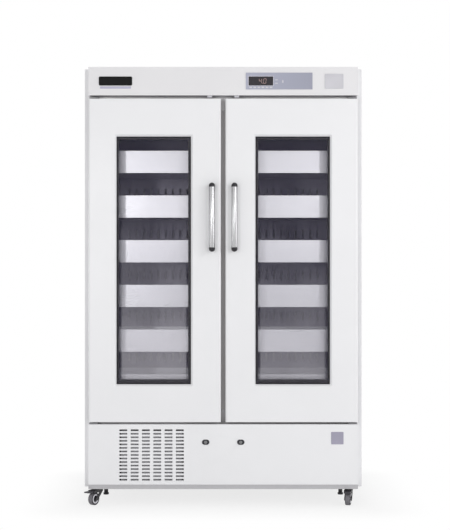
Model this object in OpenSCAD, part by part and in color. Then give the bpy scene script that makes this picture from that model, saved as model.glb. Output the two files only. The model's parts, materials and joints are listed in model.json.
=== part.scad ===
// Two-door blood bank refrigerator: an upright insulated cabinet on casters, with two glazed
// doors and six sliding drawers behind each door. Millimetres, +Z up, the front faces -Y.
// The origin lies on the floor, under the middle of the whole object.

/* [Cabinet] */
// Width over the outer shell
cabinet_w = 1246; // [1230:2:1266]
// Depth of the outer shell, from the face that the door seals meet to the rear edge
cabinet_d = 690; // [680:2:730]
// Height from the floor to the top
cabinet_h = 1954; // [1939:5:1994]
// Height of the cabinet's underside above the floor
base_z = 76; // [75:0.5:80]
// Thickness of every bent steel sheet
sheet = 1.5; // [1.2:0.1:1.8]
// Thickness of the insulated walls, outer face to inner face
wall = 63; // [60:1:64]
// Width of the shell's return around its front edge
return_w = 28; // [26:1:31]
// Depth of the back panel inside the shell's rear edge
back_inset = 6; // [4:0.5:9]
// Width of the post that both doors close against
mullion_w = 72; // [70:0.5:73]
// Depth of the post that both doors close against
mullion_d = 30; // [24:1:36]

/* [Front] */
// Width of the shell's edge that shows beside the doors
reveal = 23; // [20:0.5:25]
// Gap between the two doors
door_gap = 20; // [16:1:24]
// Height of the header above the doors
header_h = 126; // [120:1:134]
// Height of the slotted panel under the doors
lower_h = 268; // [262:1:274]
// Height of the plinth lip under the slotted panel
plinth_h = 20; // [18:0.5:22]
// Gap between the doors and the header
top_gap = 15; // [14:0.5:18]
// Gap between the doors and the slotted panel
bottom_gap = 10; // [9.5:0.5:13]

/* [Doors] */
// Thickness of a door without its seal
door_t = 55; // [54:0.5:58]
// Space that the seal fills between door and cabinet
seal_t = 12; // [11:0.5:14]
// Width of the seal's base
seal_w = 18; // [14:1:19]
// Distance from the door's edge to the seal
seal_inset = 8; // [7:0.5:9]
// Radius of the door's upright front edges
door_edge_r = 9; // [6:0.5:11]
// Depth of the outer skin's side returns
skin_d = 47; // [44:0.5:50]
// Window margin on the hinge side
margin_hinge = 116; // [108:1:126]
// Window margin on the handle side
margin_handle = 125; // [117:1:135]
// Window margin at the top
margin_top = 159; // [148:1:170]
// Window margin at the bottom
margin_bottom = 159; // [150:1:170]
// Depth and width of the sloped edge around the window
bevel = 9; // [7:0.5:10]
// Thickness of one glass pane
glass_t = 4; // [3:0.5:5]
// Space between the two panes
glass_gap = 24; // [20:1:25]
// How far the glass reaches behind the sloped edge
glass_lap = 12; // [9:1:15]
// Width of the dark border that shows on the hinge side of the glass
border_hinge = 9; // [6:1:12]
// Width of the dark border that shows on the handle side and at the top of the glass
border_w = 12; // [9:1:15]
// Width of the dark border that shows at the bottom of the glass
border_bottom = 20; // [14:1:26]
// Distance from the door's outer edge to its pivot
pivot_in = 12; // [11:0.5:14]
// Distance from the door's front to its pivot
pivot_back = 25; // [23:0.5:26]
// Radius of the pivot pins
pivot_r = 5; // [4:0.25:5.5]

/* [Handles] */
// Length of a handle over its two ends
handle_l = 304; // [270:2:340]
// Diameter of the handle bar
handle_d = 27; // [24:0.5:30]
// How far a handle stands out from its door
handle_out = 48; // [44:0.5:56]
// Distance from the door's free edge to the handle's middle line
handle_in = 40; // [36:0.5:46]
// Height of the handle's middle above the floor
handle_z = 1285; // [1224:1:1344]
// Length of the dark cap at each end of a handle
handle_cap = 18; // [17:0.5:24]

/* [Drawers] */
// Distance from the roof of the room to the top of the highest drawer front
drawer_headroom = 175; // [164:1:184]
// Distance from the floor of the room to the lowest drawer front
drawer_low = 52; // [47:1:57]
// Height of a drawer front
drawer_front_h = 101; // [95:1:107]
// Height of a drawer's side and rear walls
drawer_wall_h = 82; // [74:1:86]
// Depth of a drawer
drawer_d = 490; // [470:2:496]
// Distance from the door's inner face to a drawer front
drawer_setback = 62; // [61:0.5:65]
// Distance from a drawer to the wall of the room
drawer_side = 37; // [36:0.5:40]
// Distance from a drawer to the centre line of the cabinet
drawer_centre = 47; // [46:0.5:50]
// Thickness of the drawer sheet
drawer_sheet = 1.5; // [1.2:0.1:2]
// Height of the runner on a drawer's side
runner_h = 14; // [12:0.5:16]
// Depth of the fixed rails
rail_w = 14; // [12:0.5:14.5]

/* [Front details] */
// Columns of slots in the panel under the doors
slot_columns = 6; // [4:1:6]
// Rows of slots in the panel under the doors
slot_rows = 15; // [11:1:15]
// Width of a slot
slot_w = 35; // [30:1:40]
// Height of a slot
slot_h = 7.5; // [6:0.5:9]
// Width of the metal between two columns of slots
slot_bar_w = 15.3; // [14:0.1:17]
// Height of the metal between two rows of slots
slot_bar_h = 8.2; // [7:0.1:8.5]
// Distance from the shell's side to the slots' middle
slots_side = 304.5; // [297:0.5:313]
// Height of the slots' middle above the floor
slots_z = 228; // [226:0.5:230]
// Distance of the locks from the centre line
lock_x = 78; // [72:1:84]
// Distance from the top of the slotted panel down to the locks
lock_drop = 79; // [76:0.5:82]
// Length of the lock's cam
cam_l = 105; // [103:0.5:107]
// Width of the control panel
control_w = 296; // [280:2:310]
// Height of the control panel
control_h = 74; // [68:1:80]
// Distance from the shell's side to the control panel's middle
control_side = 374; // [367:1:383]
// Width of the display
display_w = 109; // [100:1:116]
// Height of the display
display_h = 40; // [34:1:42]

/* [Casters] */
// Radius of a caster wheel
wheel_r = 28; // [26:0.25:28.5]
// Width of a caster wheel
wheel_w = 24; // [22:0.5:25]
// Distance from the swivel axis to the axle
trail = 28; // [26:0.5:30]
// Distance from the shell's side to the casters
caster_side = 59; // [55:1:65]
// Distance from the front of the doors to the front casters
caster_front = 55; // [52:1:62]
// Distance from the rear edge to the rear casters
caster_rear = 100; // [94:1:120]
// Direction that the left front caster trails in, from the left round towards the front
turn_front_left = 58; // [44:1:70]
// Direction that the right front caster trails in, from the left round towards the front
turn_front_right = 78; // [60:1:90]
// Direction that both rear casters trail in, from the left round towards the front
turn_rear = 62; // [45:1:90]
// Radius of a levelling foot
foot_r = 12.5; // [10:0.5:13.5]
// Height of a raised levelling foot above the floor
foot_z = 26; // [24:0.5:30]
// Distance from the shell's side to the levelling feet
foot_side = 88; // [85:1:92]

/* [Machine compartment] */
// Width of the condenser behind the slots
condenser_w = 300; // [280:2:310]
// Height of the condenser
condenser_h = 232; // [222:2:236]
// Depth of the condenser's fins
condenser_d = 60; // [50:1:64]
// Radius of the condenser fan
fan_r = 92; // [84:1:96]
// Radius of the compressor's shell
compressor_r = 85; // [78:1:90]
// Height of the compressor's upright wall
compressor_h = 110; // [100:1:115]
// Depth of the air duct at the back of the room
duct_d = 68; // [66:0.5:70]
// Radius of the fan in the air duct
duct_fan_r = 72; // [64:1:74]

/* [Hidden] */
$fn = 48;

// Clearances: cut reaches past a face, run is a turning fit, gap keeps moving faces apart
cut = 1;
run = 0.05;
gap = 0.3;
slide = 0.4;

// Depths, front to back
depth_all = handle_out + door_t + seal_t + cabinet_d;
back_y = depth_all / 2;
face_y = back_y - cabinet_d;
door_y1 = face_y - seal_t;
door_y0 = door_y1 - door_t;
rear_y = back_y - back_inset - sheet;
room_back = rear_y - wall + sheet;

// Heights, floor to top
panel_z0 = base_z + plinth_h;
panel_z1 = panel_z0 + lower_h;
door_z0 = panel_z1 + bottom_gap;
header_z0 = cabinet_h - header_h;
door_z1 = header_z0 - top_gap;
frame_low = 50;
frame_top = 46;
floor_t = 55;
room_z0 = door_z0 + frame_low;
room_z1 = door_z1 - frame_top;
foam_z0 = room_z0 - floor_t;
lock_z = panel_z1 - lock_drop;

// Widths
front_w = cabinet_w - 2 * reveal;
inside_half = cabinet_w / 2 - sheet;
face_half = cabinet_w / 2 - return_w;
room_half = cabinet_w / 2 - wall;
door_w = (front_w - door_gap) / 2;
door_x0 = -front_w / 2;
door_x1 = door_x0 + door_w;

// Window and glass, on the left door
win_x0 = door_x0 + margin_hinge;
win_x1 = door_x1 - margin_handle;
win_z0 = door_z0 + margin_bottom;
win_z1 = door_z1 - margin_top;
glass_y0 = door_y0 + bevel + sheet;
glass_y1 = glass_y0 + glass_t;
glass_y2 = glass_y1 + glass_gap;
glass_y3 = glass_y2 + glass_t;
pane_out = glass_lap - bevel;

// Pivots of the left door
pivot_x = door_x0 + pivot_in;
pivot_y = door_y0 + pivot_back;
pin_l = 22;
pin_space = 2;
hinge_t = 4;
hinge_leg = 34;
hinge_end = 9;
hinge_w = 39;
liner_drop = 40;

// Drawers on the left side
rows = 6;
drawer_room = room_z1 - drawer_headroom - drawer_front_h - room_z0 - drawer_low;
drawer_pitch = drawer_room / (rows - 1);
drawer_x0 = -room_half + drawer_side;
drawer_x1 = -drawer_centre;
drawer_y0 = door_y1 + drawer_setback;
drawer_y1 = drawer_y0 + drawer_d;
drawer_floor = 8;
runner_z = 40;
rail_gap = 3;
runner_reach = 9;
rail_t = 2;
post_d = 30;
post_inset = 60;
post_t = 2;
function drawer_z(row) = room_z1 - drawer_headroom - drawer_front_h - (row - 1) * drawer_pitch;

// Lock
lock_r = 10;
plug_r = 7;
plug_l = 24;
cam_t = 3;
cam_w = 12;
cam_slot = 5;
flange_d = 18;

// Casters and feet
caster_x = cabinet_w / 2 - caster_side;
foot_x = cabinet_w / 2 - foot_side;
foot_back = 96;
fork_top = base_z - gap;
king_r = 6;
king_l = 20;
boss_h = 18;
axle_r = 4;
cheek_t = 3;
cheek_gap = 2;
fork_disc_r = 22;
fork_disc_t = 8;
pedal_pin_r = 3;
pedal_ahead = 7;
pedal_drop = 13;
pedal_x = trail + pedal_ahead;
pedal_z = fork_top - pedal_drop;
pedal_reach = 80;
stem_r = 5;
stem_l = 96;
foot_h = 8;
front_caster_y = door_y0 + caster_front;
foot_y = front_caster_y + foot_back;
rear_caster_y = back_y - caster_rear;

// Machine compartment
tray_t = 3;
floor_z = base_z + tray_t;
slots_x = cabinet_w / 2 - slots_side;
condenser_lift = 25;
condenser_back = 9;
shroud_gap = 12;
fan_gap = 8;
fan_d = 30;
fan_ring = 6;
condenser_x = -slots_x;
condenser_z = floor_z + condenser_lift + condenser_h / 2;
condenser_y = face_y + condenser_back;
shaft_r = 4;
motor_r = 30;
shroud_y = condenser_y + condenser_d + shroud_gap;
fan_y0 = shroud_y + fan_gap;
fan_y1 = fan_y0 + fan_d;
compressor_side = 373;
compressor_x = cabinet_w / 2 - compressor_side;
compressor_y = 60;
compressor_foot = 105;

// Air duct in the room
duct_rise = 30;
duct_drop = 12;
duct_fan_drop = 105;
duct_fan_d = 26;
duct_y = room_back - duct_d;
duct_z0 = room_z0 + duct_rise;
duct_z1 = room_z1 - duct_drop;
duct_fan_z = room_z1 - duct_fan_drop;
duct_fan_y0 = duct_y + fan_gap;
duct_fan_y1 = duct_fan_y0 + duct_fan_d;

// Control panel
control_z = header_z0 + header_h / 2;
control_t = 2.5;
control_lip = 6;
control_box = 18;
display_inset = 12;
control_x = cabinet_w / 2 - control_side;
display_x = control_x - control_w / 2 + display_inset + display_w / 2;

// Power inlet
inlet_side = 153;
inlet_up = 120;
inlet_x = cabinet_w / 2 - inlet_side;
inlet_z = base_z + inlet_up;
inlet_w = 50;
inlet_h = 30;

// Colours
white_paint = [0.93, 0.93, 0.94];
pale_grey = [0.80, 0.80, 0.83];
panel_grey = [0.66, 0.67, 0.74];
steel = [0.75, 0.75, 0.77];
dark_steel = [0.32, 0.32, 0.34];
black_plastic = [0.08, 0.08, 0.09];
rubber_grey = [0.45, 0.45, 0.46];
foam_yellow = [0.92, 0.85, 0.62];
copper = [0.72, 0.45, 0.30];
clear_glass = [0.75, 0.85, 0.85, 0.35];

// Helpers

module box(low, high) {
    translate(low)
        cube(high - low);
}

module rect(low, high) {
    translate(low)
        square(high - low);
}

module rod_x(r, y, z, x0, x1) {
    translate([x0, y, z])
        rotate([0, 90, 0])
            cylinder(r = r, h = x1 - x0);
}

module rod_y(r, x, z, y0, y1) {
    translate([x, y1, z])
        rotate([90, 0, 0])
            cylinder(r = r, h = y1 - y0);
}

module rod_z(r, x, y, z0, z1) {
    translate([x, y, z0])
        cylinder(r = r, h = z1 - z0);
}

// A flat shape drawn in X and Z, given thickness along Y
module plate_y(y0, y1) {
    translate([0, y1, 0])
        rotate([90, 0, 0])
            linear_extrude(y1 - y0)
                children();
}

module both_sides() {
    children();
    mirror([1, 0, 0])
        children();
}

module slot_grid(columns, rows, pitch_x, pitch_z, w, h) {
    for (column = [0 : columns - 1], row = [0 : rows - 1])
        translate([(column - (columns - 1) / 2) * pitch_x, (row - (rows - 1) / 2) * pitch_z])
            square([w, h], center = true);
}

// A plan outline with its two front corners rounded
module rounded_front(x0, x1, y0, y1, r) {
    rect([x0, y0 + r], [x1, y1]);
    rect([x0 + r, y0], [x1 - r, y1]);
    translate([x0 + r, y0 + r])
        circle(r);
    translate([x1 - r, y0 + r])
        circle(r);
}

// Cabinet

module outer_shell() {
    color(white_paint)
        difference() {
            box([-cabinet_w / 2, face_y, base_z], [cabinet_w / 2, back_y, cabinet_h]);
            box([-inside_half, face_y + sheet, base_z - cut],
                [inside_half, back_y + cut, cabinet_h - sheet]);
            box([-face_half, face_y - cut, base_z - cut],
                [face_half, face_y + sheet + cut, cabinet_h - return_w]);
        }
}

module back_panel() {
    vent_columns = 6;
    vent_rows = 11;
    vent_w = 66;
    vent_h = 8;
    vent_step_x = 90;
    vent_step_z = 18;
    vent_side = 473;
    vent_up = 160;
    vent_x = cabinet_w / 2 - vent_side;
    vent_z = base_z + vent_up;
    color(pale_grey)
        plate_y(rear_y, rear_y + sheet)
            difference() {
                rect([-inside_half, base_z], [inside_half, cabinet_h - sheet]);
                translate([vent_x, vent_z])
                    slot_grid(vent_columns, vent_rows, vent_step_x, vent_step_z, vent_w, vent_h);
                translate([inlet_x, inlet_z])
                    square([inlet_w, inlet_h], center = true);
            }
}

module foam_insulation() {
    color(foam_yellow)
        difference() {
            box([-inside_half, face_y + sheet, foam_z0], [inside_half, rear_y, cabinet_h - sheet]);
            box([-room_half - sheet, face_y, room_z0 - sheet],
                [room_half + sheet, room_back + sheet, room_z1 + sheet]);
        }
}

module inner_liner() {
    color(steel)
        difference() {
            union() {
                box([-room_half - sheet, face_y, room_z0 - sheet],
                    [room_half + sheet, room_back + sheet, room_z1 + sheet]);
                box([-face_half, face_y, foam_z0 - liner_drop],
                    [face_half, face_y + sheet, cabinet_h - return_w]);
            }
            box([-room_half, face_y - cut, room_z0], [room_half, room_back, room_z1]);
        }
}

module centre_mullion() {
    color(dark_steel)
        difference() {
            box([-mullion_w / 2, face_y, room_z0], [mullion_w / 2, face_y + mullion_d, room_z1]);
            box([-mullion_w / 2 + sheet, face_y + sheet, room_z0 - cut],
                [mullion_w / 2 - sheet, face_y + mullion_d - sheet, room_z1 + cut]);
        }
}

module caster_places() {
    for (x = [-caster_x, caster_x], y = [front_caster_y, rear_caster_y])
        translate([x, y, 0])
            children();
}

module base_tray() {
    lip_back = 2;
    lip_y = door_y0 + lip_back;
    nut_r = 11;
    color(rubber_grey)
        difference() {
            union() {
                box([-inside_half, face_y + sheet, base_z], [inside_half, rear_y, floor_z]);
                box([-face_half, face_y - cut, base_z], [face_half, face_y + sheet + cut, floor_z]);
                box([-front_w / 2, lip_y, base_z], [front_w / 2, face_y, floor_z]);
                box([-front_w / 2, lip_y, base_z], [front_w / 2, lip_y + tray_t, panel_z0]);
                both_sides()
                    box([front_w / 2 - tray_t, lip_y, base_z], [front_w / 2, face_y, panel_z0]);
                caster_places()
                    rod_z(fork_disc_r, 0, 0, base_z, base_z + boss_h + tray_t);
                both_sides()
                    rod_z(nut_r, foot_x, foot_y, base_z, base_z + boss_h);
            }
            caster_places()
                rod_z(king_r + run, 0, 0, base_z - cut, base_z + king_l + cut);
            both_sides()
                rod_z(stem_r + run, foot_x, foot_y, base_z - cut, base_z + boss_h + cut);
        }
}

module lower_panel() {
    pitch_x = slot_w + slot_bar_w;
    pitch_z = slot_h + slot_bar_h;
    color(white_paint)
        difference() {
            union() {
                box([-front_w / 2, door_y0, panel_z0], [front_w / 2, door_y0 + sheet, panel_z1]);
                box([-front_w / 2, door_y0, panel_z1 - sheet],
                    [front_w / 2, door_y0 + flange_d, panel_z1]);
                both_sides()
                    box([front_w / 2 - sheet, door_y0, panel_z0], [front_w / 2, face_y, panel_z1]);
            }
            plate_y(door_y0 - cut, door_y0 + sheet + cut)
                translate([-slots_x, slots_z])
                    slot_grid(slot_columns, slot_rows, pitch_x, pitch_z, slot_w, slot_h);
            both_sides()
                rod_y(lock_r + gap, lock_x, lock_z, door_y0 - cut, door_y0 + sheet + cut);
        }
}

module header_panel() {
    hinge_room = 8;
    color(white_paint)
        difference() {
            box([-front_w / 2, door_y0, header_z0], [front_w / 2, face_y, cabinet_h]);
            box([-front_w / 2 + sheet, door_y0 + sheet, header_z0 + sheet],
                [front_w / 2 - sheet, face_y + cut, cabinet_h - sheet]);
            box([-front_w / 2 + sheet, face_y - hinge_room, header_z0 - cut],
                [front_w / 2 - sheet, face_y + cut, header_z0 + sheet + cut]);
            plate_y(door_y0 - cut, door_y0 + sheet + cut)
                translate([control_x, control_z])
                    square([control_w - control_lip, control_h - control_lip], center = true);
        }
}

module control_panel() {
    back_w = control_w - control_lip - 2 * gap;
    back_h = control_h - control_lip - 2 * gap;
    color(panel_grey)
        difference() {
            union() {
                plate_y(door_y0 - control_t, door_y0)
                    translate([control_x, control_z])
                        square([control_w, control_h], center = true);
                plate_y(door_y0 - cut, door_y0 + control_box)
                    translate([control_x, control_z])
                        square([back_w, back_h], center = true);
            }
            plate_y(door_y0 - control_t - cut, door_y0 + control_t)
                translate([display_x, control_z])
                    square([display_w, display_h], center = true);
        }
}

module display_lens() {
    lens_back = 0.5;
    color(black_plastic)
        plate_y(door_y0 - control_t + lens_back, door_y0 + control_t)
            translate([display_x, control_z])
                square([display_w, display_h], center = true);
}

module door_switches() {
    switch_x = 60;
    switch_w = 22;
    switch_d = 16;
    switch_h = 9;
    switch_back = 8;
    color(pale_grey)
        both_sides()
            box([switch_x - switch_w / 2, door_y0 + switch_back, header_z0 - switch_h],
                [switch_x + switch_w / 2, door_y0 + switch_back + switch_d, header_z0]);
}

// A pivot plate with its leg on the cabinet's face; up is 1 for a pin that points up
module hinge_plate(plate_z0, plate_z1, door_z, leg_z, up) {
    washer_r = 9;
    front = pivot_y - hinge_end - hinge_t;
    box([pivot_x - hinge_end, front, plate_z0], [pivot_x - hinge_end + hinge_w, face_y, plate_z1]);
    box([pivot_x - hinge_end, face_y - hinge_t, min(leg_z, plate_z0)],
        [pivot_x - hinge_end + hinge_w, face_y, max(leg_z, plate_z1)]);
    washer_z = door_z - up * gap;
    pin_z = door_z + up * pin_l;
    rod_z(washer_r, pivot_x, pivot_y, min(plate_z0, washer_z), max(plate_z1, washer_z));
    rod_z(pivot_r, pivot_x, pivot_y, min(plate_z0, pin_z), max(plate_z1, pin_z));
}

module hinge_plates() {
    low_z = panel_z1 + pin_space;
    high_z = door_z1 + hinge_t;
    color(dark_steel)
        both_sides() {
            hinge_plate(low_z, low_z + hinge_t, door_z0, low_z - hinge_leg, 1);
            hinge_plate(high_z, high_z + hinge_t, door_z1, high_z + hinge_leg, -1);
        }
}

module lock_housings() {
    bezel_t = 2;
    bezel_x = 5;
    bezel_r = 11.5;
    nut_r = 15;
    nut_t = 4;
    color(steel)
        both_sides()
            difference() {
                union() {
                    plate_y(door_y0 - bezel_t, door_y0)
                        hull()
                            for (side = [-1, 1])
                                translate([lock_x + side * bezel_x, lock_z])
                                    circle(bezel_r);
                    rod_y(lock_r, lock_x, lock_z, door_y0 - cut, door_y0 + plug_l - cut);
                    rod_y(nut_r, lock_x, lock_z, door_y0 + sheet, door_y0 + sheet + nut_t);
                }
                rod_y(plug_r + run, lock_x, lock_z, door_y0 - bezel_t - cut, door_y0 + plug_l + cut);
            }
}

module lock_plug() {
    proud = 3;
    key_w = 2;
    key_h = 8;
    key_d = 6;
    cam_y0 = door_y0 + plug_l;
    color(dark_steel)
        difference() {
            union() {
                rod_y(plug_r, -lock_x, lock_z, door_y0 - proud, cam_y0 + cam_t);
                rod_y(plug_r + gap, -lock_x, lock_z, cam_y0, cam_y0 + cam_t);
                box([-lock_x - cam_l, cam_y0, lock_z - cam_w / 2],
                    [-lock_x, cam_y0 + cam_t, lock_z + cam_w / 2]);
            }
            box([-lock_x - key_w / 2, door_y0 - proud - cut, lock_z - key_h / 2],
                [-lock_x + key_w / 2, door_y0 - proud + key_d, lock_z + key_h / 2]);
        }
}

// Doors, drawn on the left side

// The window opening as a solid that narrows towards the back, grown by a margin
module window_funnel(grow) {
    hull() {
        plate_y(door_y0 - cut, door_y0)
            rect([win_x0 - grow, win_z0 - grow], [win_x1 + grow, win_z1 + grow]);
        plate_y(door_y0 + bevel, door_y0 + bevel + sheet)
            rect([win_x0 + bevel - grow, win_z0 + bevel - grow],
                 [win_x1 - bevel + grow, win_z1 - bevel + grow]);
    }
}

module door_skin() {
    color(white_paint)
        difference() {
            union() {
                difference() {
                    translate([0, 0, door_z0])
                        linear_extrude(door_z1 - door_z0)
                            rounded_front(door_x0, door_x1, door_y0, door_y0 + skin_d, door_edge_r);
                    translate([0, 0, door_z0 - cut])
                        linear_extrude(door_z1 - door_z0 + 2 * cut)
                            rounded_front(door_x0 + sheet, door_x1 - sheet, door_y0 + sheet,
                                          door_y0 + skin_d + cut, door_edge_r - sheet);
                }
                intersection() {
                    window_funnel(sheet);
                    box([door_x0, door_y0, door_z0], [door_x1, door_y0 + bevel + sheet, door_z1]);
                }
            }
            translate([0, -cut / 2, 0])
                window_funnel(0);
            plate_y(door_y0 + bevel - cut, door_y0 + bevel + sheet + cut)
                rect([win_x0 + bevel, win_z0 + bevel], [win_x1 - bevel, win_z1 - bevel]);
        }
}

module door_core() {
    edge_r = door_edge_r + gap;
    room = sheet + gap;
    cam_space = 68;
    slot_x0 = -lock_x - cam_space;
    slot_x1 = -lock_x + cam_w;
    slot_top = door_z0 + cam_l - lock_drop - bottom_gap + cam_slot;
    cam_y = door_y0 + plug_l + cam_t / 2;
    color(pale_grey)
        difference() {
            union() {
                translate([0, 0, door_z0])
                    linear_extrude(door_z1 - door_z0)
                        rounded_front(door_x0 + sheet, door_x1 - sheet, door_y0 + sheet,
                                      door_y1, edge_r);
                box([door_x0, door_y0 + skin_d, door_z0], [door_x1, door_y1, door_z1]);
            }
            plate_y(door_y0, glass_y0)
                rect([win_x0 - room, win_z0 - room], [win_x1 + room, win_z1 + room]);
            plate_y(glass_y0 - cut, glass_y3)
                rect([win_x0 - pane_out - gap, win_z0 - pane_out - gap],
                     [win_x1 + pane_out + gap, win_z1 + pane_out + gap]);
            plate_y(glass_y3 - cut, door_y1 + cut)
                rect([win_x0 + bevel, win_z0 + bevel], [win_x1 - bevel, win_z1 - bevel]);
            rod_z(pivot_r + run, pivot_x, pivot_y, door_z0 - cut, door_z0 + pin_l + pin_space);
            rod_z(pivot_r + run, pivot_x, pivot_y, door_z1 - pin_l - pin_space, door_z1 + cut);
            box([slot_x0, cam_y - cam_slot, door_z0 - cut], [slot_x1, cam_y + cam_slot, slot_top]);
        }
}

module pane(y0, y1) {
    plate_y(y0, y1)
        rect([win_x0 - pane_out, win_z0 - pane_out], [win_x1 + pane_out, win_z1 + pane_out]);
}

module door_glass() {
    color(clear_glass) {
        pane(glass_y0, glass_y1);
        pane(glass_y2, glass_y3);
    }
}

module door_border() {
    hinge_side = bevel + border_hinge;
    side = bevel + border_w;
    bottom = bevel + border_bottom;
    color(black_plastic)
        difference() {
            pane(glass_y1, glass_y2);
            plate_y(glass_y1 - cut, glass_y2 + cut)
                rect([win_x0 + hinge_side, win_z0 + bottom], [win_x1 - side, win_z1 - side]);
        }
}

module seal_ring(inset, w, y0, y1) {
    plate_y(y0, y1)
        difference() {
            rect([door_x0 + inset, door_z0 + inset], [door_x1 - inset, door_z1 - inset]);
            rect([door_x0 + inset + w, door_z0 + inset + w],
                 [door_x1 - inset - w, door_z1 - inset - w]);
        }
}

module door_seal() {
    base_t = 4;
    lip = 3;
    color(rubber_grey) {
        seal_ring(seal_inset, seal_w, door_y1, door_y1 + base_t);
        seal_ring(seal_inset + lip, seal_w - 2 * lip, door_y1 + base_t, face_y - gap);
    }
}

module door_handle() {
    x = door_x1 - handle_in;
    y = door_y0 - handle_out + handle_d / 2;
    cap_r = handle_d / 2;
    bar_z = handle_l / 2 - handle_cap;
    post_r = 10;
    foot_r = 14;
    foot_t = 4;
    cap_step = 0.5;
    bar_r = cap_r - cap_step;
    color(steel)
        rod_z(bar_r, x, y, handle_z - bar_z, handle_z + bar_z);
    color(black_plastic)
        for (end = [-1, 1]) {
            cap_z = handle_z + end * (handle_l / 2 - cap_r);
            bar_end = handle_z + end * bar_z;
            translate([x, y, cap_z])
                sphere(cap_r);
            rod_z(cap_r, x, y, min(cap_z, bar_end), max(cap_z, bar_end));
            rod_y(post_r, x, cap_z, y, door_y0);
            rod_y(foot_r, x, cap_z, door_y0 - foot_t, door_y0);
        }
}

// Drawers, drawn on the left side

module drawer(row) {
    lip_d = 14;
    runner_front = 18;
    z = drawer_z(row);
    floor_low = z + drawer_floor;
    wall_top = floor_low + drawer_wall_h;
    runner_low = z + runner_z;
    color(steel) {
        box([drawer_x0, drawer_y0, z],
            [drawer_x1, drawer_y0 + drawer_sheet, z + drawer_front_h]);
        box([drawer_x0, drawer_y0, z + drawer_front_h - drawer_sheet],
            [drawer_x1, drawer_y0 + lip_d, z + drawer_front_h]);
        box([drawer_x0, drawer_y0, floor_low], [drawer_x1, drawer_y1, floor_low + drawer_sheet]);
        for (x = [drawer_x0, drawer_x1 - drawer_sheet])
            box([x, drawer_y0, floor_low], [x + drawer_sheet, drawer_y1, wall_top]);
        box([drawer_x0, drawer_y1 - drawer_sheet, floor_low], [drawer_x1, drawer_y1, wall_top]);
        box([drawer_x0 - runner_reach, drawer_y0 + runner_front, runner_low],
            [drawer_x0, drawer_y1, runner_low + runner_h]);
        box([drawer_x1, drawer_y0 + runner_front, runner_low],
            [drawer_x1 + runner_reach, drawer_y1, runner_low + runner_h]);
    }
}

// A channel that a runner slides in; the open side faces the drawer
module rail(x0, x1, open_x0, open_x1, row) {
    low = drawer_z(row) + runner_z - slide;
    high = low + runner_h + 2 * slide;
    rail_back = 10;
    rail_over = 5;
    front = drawer_y0 + rail_back;
    rear = drawer_y1 + rail_over;
    difference() {
        box([x0, front, low - rail_t], [x1, rear, high + rail_t]);
        box([open_x0, front - cut, low], [open_x1, rear + cut, high]);
    }
}

// Two upright posts, one near the front and one near the rear
module rail_posts(x0, x1) {
    for (y = [drawer_y0 + post_inset, drawer_y1 - post_inset - post_d])
        difference() {
            box([x0, y, room_z0], [x1, y + post_d, room_z1]);
            box([x0 + post_t, y + post_t, room_z0 - cut],
                [x1 - post_t, y + post_d - post_t, room_z1 + cut]);
        }
}

module drawer_rails() {
    outer_x1 = drawer_x0 - rail_gap;
    outer_x0 = outer_x1 - rail_w;
    inner_x0 = drawer_x1 + rail_gap;
    inner_x1 = inner_x0 + rail_w;
    color(steel) {
        both_sides()
            union() {
                rail_posts(-room_half, outer_x0);
                for (row = [1 : rows])
                    rail(outer_x0, outer_x1, outer_x0 + rail_t, outer_x1 + cut, row);
            }
        union() {
            rail_posts(inner_x1, -inner_x1);
            both_sides()
                for (row = [1 : rows])
                    rail(inner_x0, inner_x1, inner_x0 - cut, inner_x1 - rail_t, row);
        }
    }
}

// Room air

module air_duct() {
    duct_side = 20;
    duct_half = room_half - duct_side;
    vent_columns = 11;
    vent_h = 40;
    vent_w = 10;
    vent_step = 36;
    color(steel)
        difference() {
            box([-duct_half, duct_y, duct_z0], [duct_half, room_back, duct_z1]);
            box([-duct_half + sheet, duct_y + sheet, duct_z0 - cut],
                [duct_half - sheet, room_back + cut, duct_z1 - sheet]);
            plate_y(duct_y - cut, duct_y + sheet + cut)
                for (row = [2 : rows])
                    for (side = [-1, 1])
                        translate([side * (drawer_centre + (room_half - drawer_side)) / 2,
                                   drawer_z(row) + drawer_front_h + vent_h])
                            slot_grid(vent_columns, 1, vent_step, 1, vent_w, vent_h);
            rod_y(duct_fan_r + fan_ring, 0, duct_fan_z, duct_y - cut, duct_y + sheet + cut);
        }
}

// Blades around a hub that turns about Y, on a shaft
module fan(x, z, r, y0, y1, blades) {
    hub_r = 22;
    blade_t = 2;
    blade_angle = 28;
    mid = (y0 + y1) / 2;
    reach = (y1 - y0) / 2 / sin(blade_angle) - blade_t;
    difference() {
        union() {
            rod_y(hub_r, x, z, y0, y1);
            for (blade = [0 : blades - 1])
                translate([x, mid, z])
                    rotate([0, blade * 360 / blades, 0])
                        rotate([0, 0, -blade_angle])
                            translate([-reach, -blade_t / 2, hub_r - blade_t])
                                cube([2 * reach, blade_t, r - hub_r - blade_t]);
        }
        rod_y(shaft_r + run, x, z, y0 - cut, y1 + cut);
    }
}

// Fins on a run of tubes that lie along X
module fin_coil(x0, x1, y0, y1, z0, z1, fins, tubes) {
    fin_t = 1.5;
    tube_r = 5;
    fin_step = (x1 - x0 - fin_t) / (fins - 1);
    tube_step = (z1 - z0) / tubes;
    for (fin = [0 : fins - 1])
        box([x0 + fin * fin_step, y0, z0], [x0 + fin * fin_step + fin_t, y1, z1]);
    for (tube = [0 : tubes - 1])
        rod_x(tube_r, (y0 + y1) / 2, z0 + (tube + 0.5) * tube_step, x0 - 2 * tube_r, x1 + 2 * tube_r);
}

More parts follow.
